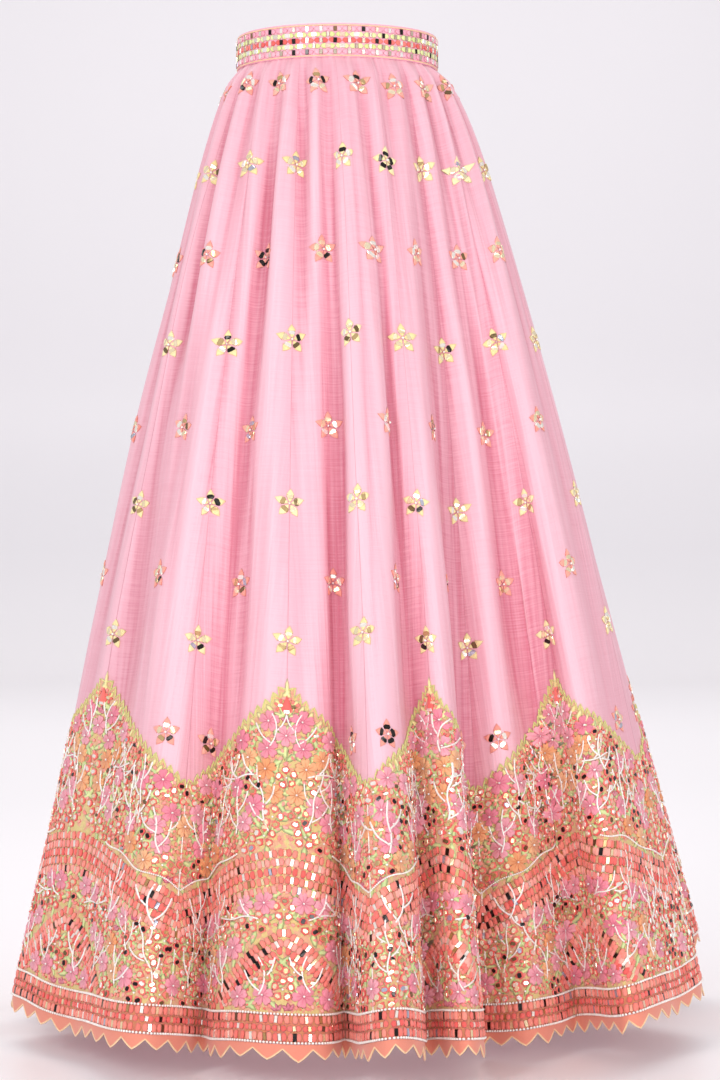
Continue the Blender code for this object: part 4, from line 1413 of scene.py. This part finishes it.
# The third colour of each band felt is painted shade for its low sides.
band_pink = felt_finish("band_pink_felt", tint(244, 156, 178), tint(253, 194, 206), tint(196, 96, 116))
band_lime = felt_finish("band_lime_felt", tint(218, 226, 142), tint(243, 244, 182), tint(150, 150, 80))
band_felts = {"pink": band_pink, "lime": band_lime, "coral": hot_coral_felt}
band_petals, band_mirrors = {"pink": [], "lime": [], "coral": []}, []
band_petal = pad_shape([(-0.0016, -0.0027), (-0.0016, 0.0027), (-0.0042, 0.0029), (-0.0059, 0.0020),
                        (-0.0069, 0.0), (-0.0057, -0.0018), (-0.0040, -0.0028)], 0.0011, crown=1.15,
                       slope=0.88)
band_pair = join_shapes(band_petal, turned_shape(band_petal, np.pi))
for height, colour, start in BAND_ROWS:
    for k in range(BAND_UNITS):
        place = 0.012 + (k + start) * 0.972 / BAND_UNITS
        band_petals[colour].append(spot(place, height, 0.0, rng.normal(0.0, 0.03)))
        shade = reflection_shades(4 * place, 2 * height)[0]
        wide, tall = (0.7 if colour == "lime" else 1.0), 0.84
        if colour == "lime" and shade > 0.5:
            wide, tall = 1.9, 0.72
        band_mirrors.append(spot(place, height, 0.0004, rng.normal(0.0, 0.04), wide=wide, tall=tall,
                                 shade=shade))
for colour, spots in band_petals.items():
    piece = sew(f"band_petals_{colour}", band_pair, spots, band_felts[colour], wrap=band_wrap)
piece = sew("band_mirrors", row_mirror, band_mirrors, band_mirror_look, wrap=band_wrap, smooth=False)


# Floor, light and camera
# A pale studio sweep under soft boxes, seen level and square on as in the photograph.
FLOOR = -1.0900
FLAT_STEPS = 8
BEND_STEPS = 12
WALL_STEPS = 4
BEND_RADIUS = 1.4

sweep = []
for k in range(FLAT_STEPS + BEND_STEPS + WALL_STEPS + 1):
    bend = np.clip((k - FLAT_STEPS) / BEND_STEPS, 0.0, 1.0) * np.pi / 2
    back = -4.2 + min(k, FLAT_STEPS) * 1.38 + BEND_RADIUS * np.sin(bend)
    wall = max(k - FLAT_STEPS - BEND_STEPS, 0) * 0.9
    sweep.append((back, BEND_RADIUS * (1.0 - np.cos(bend)) + wall))
points = [(x, y, FLOOR + z) for y, z in sweep for x in (-7.0, 7.0)]
faces = [(2 * k, 2 * k + 1, 2 * k + 3, 2 * k + 2) for k in range(len(sweep) - 1)]
mesh = bpy.data.meshes.new("studio_sweep")
mesh.from_pydata(points, [], faces)
mesh.polygons.foreach_set("use_smooth", [True] * len(faces))
floor_look, tree, shader = finish_of("studio_paper", Roughness=0.36, Specular_IOR_Level=0.3)
place = add(tree, "ShaderNodeTexCoord")
cloud = add(tree, "ShaderNodeTexNoise", {"Vector": place.outputs["Object"], "Scale": 1.5, "Detail": 2.0})
split = add(tree, "ShaderNodeSeparateXYZ", {0: place.outputs["Object"]})
rise = rescaled(tree, split.outputs["Z"], FLOOR, FLOOR + 0.5, 0.0, 0.8)
paler = reckon(tree, "MULTIPLY_ADD", cloud.outputs["Fac"], 0.2, rise)
link_finish(tree, shader, Base_Color=graded(tree, paler, [(0.0, (252, 249, 250)), (1.0, (241, 238, 241))]))
mesh.materials.append(floor_look)
mesh.update()
studio = bpy.data.objects.new("studio_sweep", mesh)
bpy.context.scene.collection.objects.link(studio)

sky = bpy.data.worlds.new("studio_light")
sky.use_nodes = True
sky.node_tree.nodes["Background"].inputs["Color"].default_value = tint(246, 244, 248)
sky.node_tree.nodes["Background"].inputs["Strength"].default_value = 0.63
bpy.context.scene.world = sky


def soft_box(name, at, towards, width, height, watts, colour=(1.0, 1.0, 1.0)):
    """A rectangular studio light turned towards a point."""
    lamp = bpy.data.lights.new(name, "AREA")
    lamp.shape, lamp.size, lamp.size_y, lamp.energy, lamp.color = "RECTANGLE", width, height, watts, colour
    made = bpy.data.objects.new(name, lamp)
    made.location = at
    made.rotation_euler = (Vector(towards) - Vector(at)).to_track_quat("-Z", "Y").to_euler()
    bpy.context.scene.collection.objects.link(made)


soft_box("key_box", (-1.6, -2.7, 0.9), (0.0, 0.0, -0.6), 0.8, 1.4, 34.0)
soft_box("fill_box", (1.8, -2.9, -0.2), (0.1, 0.0, -0.7), 0.8, 1.5, 24.0)
soft_box("low_box", (0.3, -3.4, 0.0), (0.15, -0.4, -1.0), 2.6, 0.6, 20.0)
soft_box("floor_box", (0.0, 1.1, 1.4), (0.0, 0.7, -1.09), 4.0, 1.6, 36.0)
soft_box("hem_box", (0.0, 0.0, -0.75), (0.0, 0.0, -1.09), 0.14, 0.14, 0.30, (1.0, 0.95, 0.95))
soft_box("back_box", (0.0, 3.6, 2.6), (0.0, 7.0, -0.4), 6.0, 1.0, 86.0)

lens = bpy.data.cameras.new("view_camera")
lens.lens, lens.sensor_width = 86.1, 36.0
camera = bpy.data.objects.new("view_camera", lens)
camera.location = (0.025, -2.84, -0.5505)
camera.rotation_euler = (np.pi / 2, 0.0, 0.0)
bpy.context.scene.collection.objects.link(camera)
bpy.context.scene.camera = camera
bpy.context.scene.view_settings.view_transform = "Standard"
